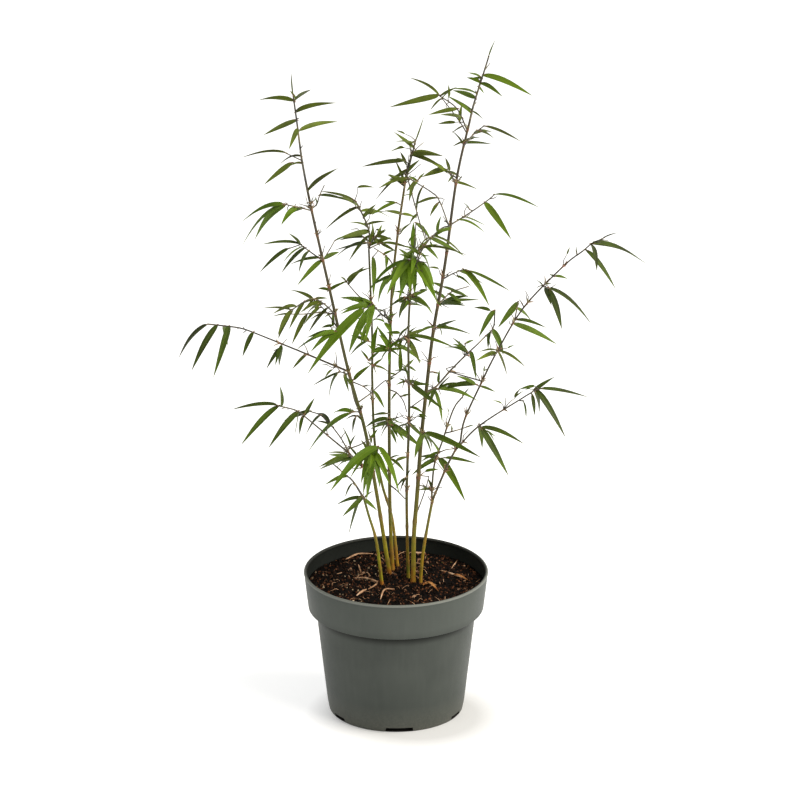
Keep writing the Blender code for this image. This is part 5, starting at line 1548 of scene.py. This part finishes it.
def moulded_polypropylene():
    """Injection-moulded polypropylene, dark grey-green: a satin face with a fine grain, faint
    upright flow marks from the mould, a band painted lighter than the body as painted light, a
    lip with a painted highlight that also stands for rubbing, pale dust that has settled near
    the foot, painted shade in the crease under the band, and painted shade on the inner wall."""
    surface = new_surface("moulded_polypropylene", 0.5, 1.49, Specular_IOR_Level=0.12)
    tree, place = surface.tree, surface.place
    drawn = add_node(tree, "ShaderNodeMapping", {"Vector": place, "Scale": (1.0, 1.0, 0.14)})
    broad, flow, speck, grain = [
        add_node(tree, "ShaderNodeTexNoise",
                 {"Vector": where, "Scale": 1 / (size * MM), "Detail": detail}).outputs["Fac"]
        for where, size, detail in ((place, 48, 2.0), (drawn.outputs[0], 7, 4.0),
                                    (place, 2.6, 3.0), (place, 1.3, 2.0))]
    height = add_node(tree, "ShaderNodeSeparateXYZ", {"Vector": place}).outputs["Z"]
    band_foot = POT_HEIGHT - BAND_HEIGHT
    marks, band, bead, low = [
        add_node(tree, "ShaderNodeMapRange", {
            "Value": value, "From Min": start, "From Max": end, "To Max": most}).outputs[0]
        for value, start, end, most in (
            (flow, 0.42, 0.72, 0.06),
            # band: painted light, the band lighter than the body under it
            (height, band_foot * MM, (band_foot + SKIRT) * MM, 0.34),
            # bead: a painted highlight along the lip, which also stands for rubbing
            (height, (POT_HEIGHT - LIP_BEAD * 1.6) * MM, (POT_HEIGHT - LIP_BEAD) * MM, 0.62),
            (height, DUST_TOP * MM, 0.0, 0.55))]
    # painted shade in the crease under the band, on the body only
    crease = add_node(tree, "ShaderNodeMapRange", {
        "Value": height, "From Min": (band_foot - CREASE_SHADE[0]) * MM,
        "From Max": (band_foot - CREASE_SHADE[1]) * MM, "To Max": 0.9}, interpolation_type="SMOOTHSTEP")
    middle = add_node(tree, "ShaderNodeVectorMath", {0: place, 1: (1.0, 1.0, 0.0)},
                      operation="MULTIPLY").outputs[0]
    out = add_node(tree, "ShaderNodeVectorMath", {0: middle}, operation="LENGTH")
    body = add_node(tree, "ShaderNodeMath", {
        0: out.outputs["Value"], 1: (BODY_TOP_RADIUS + 1) * MM}, operation="LESS_THAN")
    # painted shade on the inner wall: faces that look in towards the pot's axis are darkened
    face = add_node(tree, "ShaderNodeNewGeometry")
    outward = add_node(tree, "ShaderNodeVectorMath", {0: middle, 1: face.outputs["Normal"]},
                       operation="DOT_PRODUCT")
    inside = add_node(tree, "ShaderNodeMath", {0: outward.outputs["Value"], 1: 0.0},
                      operation="LESS_THAN")
    dusty, painted_crease_shade, painted_inner_shade = [
        add_node(tree, "ShaderNodeMath", {0: first, 1: second}, operation="MULTIPLY").outputs[0]
        for first, second in ((low, speck), (crease.outputs[0], body.outputs[0]),
                              (inside.outputs[0], 0.78))]
    gloss = add_node(tree, "ShaderNodeMapRange", {"Value": speck, "To Min": 0.38, "To Max": 0.56})
    return finish_surface(
        surface, linear("#3c403c"),
        ((broad, "#4a4e49"), (marks, "#666963"), (band, "#575c57"), (bead, "#8a8c84"),
         (dusty, "#77756a"), (painted_crease_shade, "#171915"), (painted_inner_shade, "#1c1e1b")),
        gloss.outputs[0], (grain, 0.22, 0.3))


def crumbly(name):
    """Crumbled plant matter of three shades in patches. Loose crumbs have a shade of their own
    too, from dark to light."""
    dark, middle, light, patch, roughness, loose = CRUMBLY[name]
    surface = new_surface(name, roughness, 1.45, Specular_IOR_Level=0.15)
    tree = surface.tree
    shade, grit = [
        add_node(tree, "ShaderNodeTexNoise", {
            "Vector": surface.place, "Scale": 1 / (size * MM), "Detail": detail}).outputs["Fac"]
        for size, detail in ((patch, 3.0), (0.9, 4.0))]
    if loose:
        own = add_node(tree, "ShaderNodeAttribute", attribute_name="shade")
        halved = add_node(tree, "ShaderNodeMath", {0: shade, 1: 0.5}, operation="MULTIPLY")
        shade = add_node(tree, "ShaderNodeMath", {
            0: own.outputs["Fac"], 1: 0.5, 2: halved.outputs[0]},
            operation="MULTIPLY_ADD").outputs[0]
    shades = add_node(tree, "ShaderNodeValToRGB", {"Fac": shade})
    skin = set_stops(shades, ((0.36, dark), (0.58, middle), (0.78, light)))
    return finish_surface(surface, skin, relief=(grit, 0.7, 0.6))


def cane_rind(name, shades):
    """A living cane's waxy rind: its colour changes from foot to top, with fine streaks along
    it, sunburnt patches low down and a paler bloom at its joints, and it shines softly."""
    surface = new_surface(name, 0.45, 1.47, Specular_IOR_Level=0.25)
    tree, place = surface.tree, surface.place
    drawn, stretched = [
        add_node(tree, "ShaderNodeMapping", {"Vector": place, "Scale": (1.0, 1.0, squeeze)})
        for squeeze in (0.06, 0.2)]
    cloud, streaks, patches = [
        add_node(tree, "ShaderNodeTexNoise",
                 {"Vector": where, "Scale": 1 / (size * MM), "Detail": detail}).outputs["Fac"]
        for where, size, detail in ((place, 16, 2.0), (drawn.outputs[0], 0.9, 2.0),
                                    (stretched.outputs[0], 5, 1.0))]
    height = add_node(tree, "ShaderNodeSeparateXYZ", {"Vector": place})
    strayed = add_node(tree, "ShaderNodeMath", {
        0: cloud, 1: CANE_SHADE_STRAY * MM, 2: height.outputs["Z"]}, operation="MULTIPLY_ADD")
    foot = SOIL_TOP + CANE_SHADE_FOOT
    climb = add_node(tree, "ShaderNodeMapRange", {
        "Value": strayed.outputs[0], "From Min": foot * MM,
        "From Max": (foot + CANE_SHADE_REACH) * MM}).outputs[0]
    ramp = add_node(tree, "ShaderNodeValToRGB", {"Fac": climb})
    streak, patch, low = [
        add_node(tree, "ShaderNodeMapRange", {
            "Value": value, "From Min": start, "From Max": end, "To Min": first,
            "To Max": last}).outputs[0]
        for value, start, end, first, last in (
            (streaks, 0.45, 0.75, 0.0, 0.4), (patches, 0.5, 0.66, 0.0, 0.6),
            (climb, 0.0, 0.26, 1.0, 0.0))]
    near = add_node(tree, "ShaderNodeAttribute", attribute_name="near_joint").outputs["Fac"]
    burnt, bloom = [
        add_node(tree, "ShaderNodeMath", {0: first, 1: second}, operation="MULTIPLY").outputs[0]
        for first, second in ((patch, low), (near, 0.55))]
    return finish_surface(
        surface, set_stops(ramp, tuple(zip(CANE_SHADE_STOPS, shades))),
        ((streak, "#50441f"), (burnt, "#ae6424"), (bloom, "#86683f")),
        relief=(streaks, 0.25, 0.15))


def twig_rind():
    """Thin woody twigs: smooth purplish brown, olive in patches."""
    surface = new_surface("twig_rind", 0.5, 1.47)
    skin = patchy(surface, 14, ((0.3, "#35332d"), (0.48, "#4a4638"), (0.62, "#665d43"),
                                (0.76, "#8c7b4e")))
    grain = add_node(surface.tree, "ShaderNodeTexNoise",
                     {"Vector": surface.place, "Scale": 1 / (1.2 * MM), "Detail": 2.0})
    return finish_surface(surface, skin, relief=(grain.outputs["Fac"], 0.2, 0.1))


def joint_scar():
    """The rings at the joints: woody scars, tan low down and salmon pink in the crown."""
    surface = new_surface("joint_scar", 0.6, 1.46)
    tree, place = surface.tree, surface.place
    height = add_node(tree, "ShaderNodeSeparateXYZ", {"Vector": place})
    climb = add_node(tree, "ShaderNodeMapRange", {
        "Value": height.outputs["Z"], "From Min": (SOIL_TOP + RING_SHADE_FOOT) * MM,
        "From Max": (SOIL_TOP + RING_SHADE_TOP) * MM})
    ramp = add_node(tree, "ShaderNodeValToRGB", {"Fac": climb.outputs[0]})
    skin = set_stops(ramp, ((0.0, "#7d6a30"), (0.35, "#7a5634"), (1.0, "#95563f")))
    speck = add_node(tree, "ShaderNodeTexNoise",
                     {"Vector": place, "Scale": 1 / (1.5 * MM), "Detail": 3.0})
    return finish_surface(surface, skin, ((speck.outputs["Fac"], "#5c3d2a"),))


def ribs_across(tree, count):
    """The place across and along a blade, and waves across it, so many from edge to edge."""
    blade = add_node(tree, "ShaderNodeUVMap", uv_map="blade")
    split = add_node(tree, "ShaderNodeSeparateXYZ", {"Vector": blade.outputs[0]})
    turns = add_node(tree, "ShaderNodeMath", {0: split.outputs["X"], 1: 2 * math.pi * count},
                     operation="MULTIPLY")
    waves = add_node(tree, "ShaderNodeMath", {0: turns.outputs[0]}, operation="SINE")
    return split.outputs["X"], split.outputs["Y"], waves.outputs[0]


def papery_sheath():
    """Dry papery sheaths: cream to salmon, with fine ribs along them."""
    surface = new_surface("papery_sheath", 0.62, 1.45)
    skin = patchy(surface, 9, ((0.34, "#9c614d"), (0.5, "#9f8460"), (0.66, "#8c8658")))
    ribs = ribs_across(surface.tree, SHEATH_RIBS)[2]
    return finish_surface(surface, skin, relief=(ribs, 0.4, 0.1))


def leaf_blade(tone, dark, light, dry):
    """A living leaf: fine veins along the blade, a pale midrib, a paler matt underside and a
    touch of dryness at the tip. The upper side has a soft waxy shine."""
    surface = new_surface("leaf_blade_" + tone, 0.45, 1.45, Specular_IOR_Level=0.2)
    tree = surface.tree
    cloud = add_node(tree, "ShaderNodeTexNoise",
                     {"Vector": surface.place, "Scale": 1 / (22 * MM), "Detail": 2.0})
    own, under = [add_node(tree, "ShaderNodeAttribute", attribute_name=title).outputs["Fac"]
                  for title in ("shade", "underside")]
    both = add_node(tree, "ShaderNodeMath", {0: own, 1: 0.62, 2: cloud.outputs["Fac"]},
                    operation="MULTIPLY_ADD")
    across, along, waves = ribs_across(tree, VEINS)
    off = add_node(tree, "ShaderNodeMath", {0: across, 1: 0.5}, operation="SUBTRACT")
    gap = add_node(tree, "ShaderNodeMath", {0: off.outputs[0]}, operation="ABSOLUTE")
    green, veins, midrib, tip, gloss = [
        add_node(tree, "ShaderNodeMapRange", {
            "Value": value, "From Min": start, "From Max": end, "To Min": first,
            "To Max": last}).outputs[0]
        for value, start, end, first, last in (
            (both.outputs[0], 0.4, 1.2, 0.0, 1.0), (waves, -1.0, 1.0, 0.0, 0.16),
            (gap.outputs[0], 0.02, 0.06, 0.35, 0.0), (along, 0.86, 1.0, 0.0, 0.7),
            (under, 0.0, 1.0, 0.4, 0.66))]
    matt = add_node(tree, "ShaderNodeMath", {0: under, 1: 0.4}, operation="MULTIPLY")
    return finish_surface(
        surface, linear(dark),
        ((green, light), (veins, "#26380f"), (midrib, "#7f9136"), (tip, dry),
         (matt.outputs[0], "#687a30")),
        gloss, (waves, 0.3, 0.08))


def backdrop_sheet():
    """A seamless sheet of white acrylic, sanded matt. It glows as painted light, less round the
    pot, off centre, which paints a soft shadow, and it is painted dark under the pot's foot
    as painted shadow."""
    surface = new_surface("backdrop_sheet", 0.95, 1.49, Emission_Color=(1.0, 1.0, 1.0, 1.0))
    tree = surface.tree
    skin = patchy(surface, 300, ((0.3, "#f3f3f2"), (0.7, "#f5f5f4")))
    reaches = []
    for middle, start, end, most in (((*GLOW_MIDDLE, 0.0), *GLOW_EDGE, FLOOR_GLOW),
                                     ((0.0, 0.0, 0.0), FOOT_RADIUS, FOOT_RADIUS + 1, 1.0)):
        off = add_node(tree, "ShaderNodeVectorMath", {
            0: surface.place, 1: tuple(part * MM for part in middle)}, operation="SUBTRACT")
        away = add_node(tree, "ShaderNodeVectorMath", {0: off.outputs[0]}, operation="LENGTH")
        reach = add_node(tree, "ShaderNodeMapRange", {
            "Value": away.outputs["Value"], "From Min": start * MM, "From Max": end * MM,
            "To Max": most})
        reaches.append(reach.outputs[0])
    # glow: painted light; none round the pot, which paints a soft shadow there
    glow, outside_foot_shadow = reaches
    lit = add_node(tree, "ShaderNodeMath", {0: glow, 1: outside_foot_shadow}, operation="MULTIPLY")
    tree.links.new(lit.outputs[0], surface.shader.inputs["Emission Strength"])
    # painted shadow: the sheet is painted dark under the pot's foot, fading out a millimetre beyond
    # it
    painted_foot_shadow = add_node(tree, "ShaderNodeMath", {0: 1.0, 1: outside_foot_shadow}, operation="SUBTRACT")
    return finish_surface(surface, skin, ((painted_foot_shadow.outputs[0], "#2a2622"),))


def make_canes(limbs):
    """The canes and boughs with their relief, each in place of its own solid."""
    bough_skin = cane_rind("bough_rind", BOUGH_SHADES)
    for limb in CANES + BOUGHS:
        skin = bough_skin
        if limb.name in CANE_SHADES:
            skin = cane_rind(limb.name + "_rind", CANE_SHADES[limb.name])
        add_piece(limb.name + "_surface", cane_mesh(limb, limbs), skin, "canes", limb.name)


def make_rings(rings):
    """The ring at every joint, copied from one turned shape."""
    places = [point for point, _, _ in rings]
    turns = [tuple(along.to_track_quat("Z", "Y").to_euler()) for _, along, _ in rings]
    spots = new_mesh("spots", places, turn=turns, size=[(radius,) * 3 for _, _, radius in rings])
    shapes = shape_collection("joint_ring", [turned_mesh("joint_ring", RING_PROFILE, RING_SIDES)])
    scar = joint_scar()
    mesh = run_tree(spots, copies_tree(), {"Shapes": shapes, "Material": scar}, "joint_rings")
    drop_collection(shapes)
    mesh.shade_smooth()
    add_piece("joint_rings", mesh, scar, "canes")


def make_foliage(growth, tubes):
    """Leaves by tone, and all twigs and sheaths, in place of the sprays' solids."""
    for tone, shades in LEAF_TONES.items():
        name = "leaves_" + tone
        nodes = [spray.name for spray in SPRAYS if spray.tone == tone]
        add_piece(name, blades_mesh(name, growth.leaves[tone]), leaf_blade(tone, *shades),
                  "foliage", *nodes)
    rind = twig_rind()
    values = {"Sides": TWIG_SIDES, "Material": rind}
    twigs = run_tree(paths_mesh(growth.twigs), tubes, values, "twigs")
    add_piece("twigs", twigs, rind, "canes")
    add_piece("papery_sheaths", blades_mesh("papery_sheaths", growth.sheaths), papery_sheath(),
              "canes")


def make_plant(tubes):
    """Everything above the soil."""
    limbs = grow_limbs()
    growth = Growth()
    limb_tree = tree_of_limbs(limbs)
    hosts = dict(limbs)
    for spray in SPRAYS:
        grow_spray(spray, hosts, limb_tree, growth)
    for tone, rows in FINE_SPRAYS.items():
        for name, host, at, places, leaves, *edge_on in rows:
            spray = Spray("fine_" + name, host, at, places, leaves, tone, *edge_on)
            grow_spray(spray, hosts, limb_tree, growth, fine=True)
    for limb in CANES + BOUGHS:
        dress_joints(limb, limbs, growth)
    make_canes(limbs)
    make_rings(growth.rings)
    make_foliage(growth, tubes)


def tree_of_limbs(limbs):
    """All canes and boughs as flat strips both ways round, to test leaves against."""
    verts, faces = [], []
    for path, radii in limbs.values():
        for way in (VIEW_RIGHT, VIEW_AWAY):
            base = len(verts)
            for point, radius in zip(path, radii):
                verts += [point - way * radius, point + way * radius]
            faces += [(base + 2 * k, base + 2 * k + 1, base + 2 * k + 3, base + 2 * k + 2)
                      for k in range(len(path) - 1)]
    return BVHTree.FromPolygons(verts, faces)


def make_floor():
    """A wide white sheet under the pot."""
    half = FLOOR_REACH * MM
    corners = [(-half, -half, 0), (half, -half, 0), (half, half, 0), (-half, half, 0)]
    mesh = new_mesh("backdrop_floor", corners, [(0, 1, 2, 3)])
    mesh.materials.append(backdrop_sheet())
    show("backdrop_floor", mesh)


def make_studio():
    """Plain soft light from all round, with a large square soft box above and in front."""
    world = bpy.data.worlds.new("studio")
    world.use_nodes = True
    air = world.node_tree.nodes["Background"]
    air.inputs["Color"].default_value = linear("#fbfbfa")
    air.inputs["Strength"].default_value = WORLD_STRENGTH
    bpy.context.scene.world = world
    lamp = bpy.data.lights.new("key_box", "AREA")
    lamp.size = KEY_SIZE
    lamp.energy = KEY_POWER
    lamp.color = linear("#fffaf2")[:3]
    box = show("key_box", lamp)
    box.location = KEY_PLACE
    box.rotation_euler = (KEY_AIM - KEY_PLACE).to_track_quat("-Z", "Y").to_euler()
    bpy.context.scene.view_settings.view_transform = "Standard"


def make_camera():
    """The photo's view: the same tilt, middle and span, from far away."""
    across, up = VIEW_MIDDLE
    target = (Vector((0, 0, SOIL_TOP)) + VIEW_RIGHT * across + VIEW_UP * up) * MM
    lens = bpy.data.cameras.new("view")
    lens.sensor_width = SENSOR
    lens.lens = SENSOR * CAMERA_DISTANCE / VIEW_SPAN
    lens.clip_start = 0.5
    lens.clip_end = 100.0
    camera = show("view", lens)
    camera.location = target - VIEW_AWAY * CAMERA_DISTANCE * MM
    camera.rotation_euler = VIEW_AWAY.to_track_quat("-Z", "Y").to_euler()
    bpy.context.scene.camera = camera


make_camera()
make_studio()
make_floor()
thin_limbs = tube_tree()
make_pot()
make_soil(thin_limbs)
make_plant(thin_limbs)
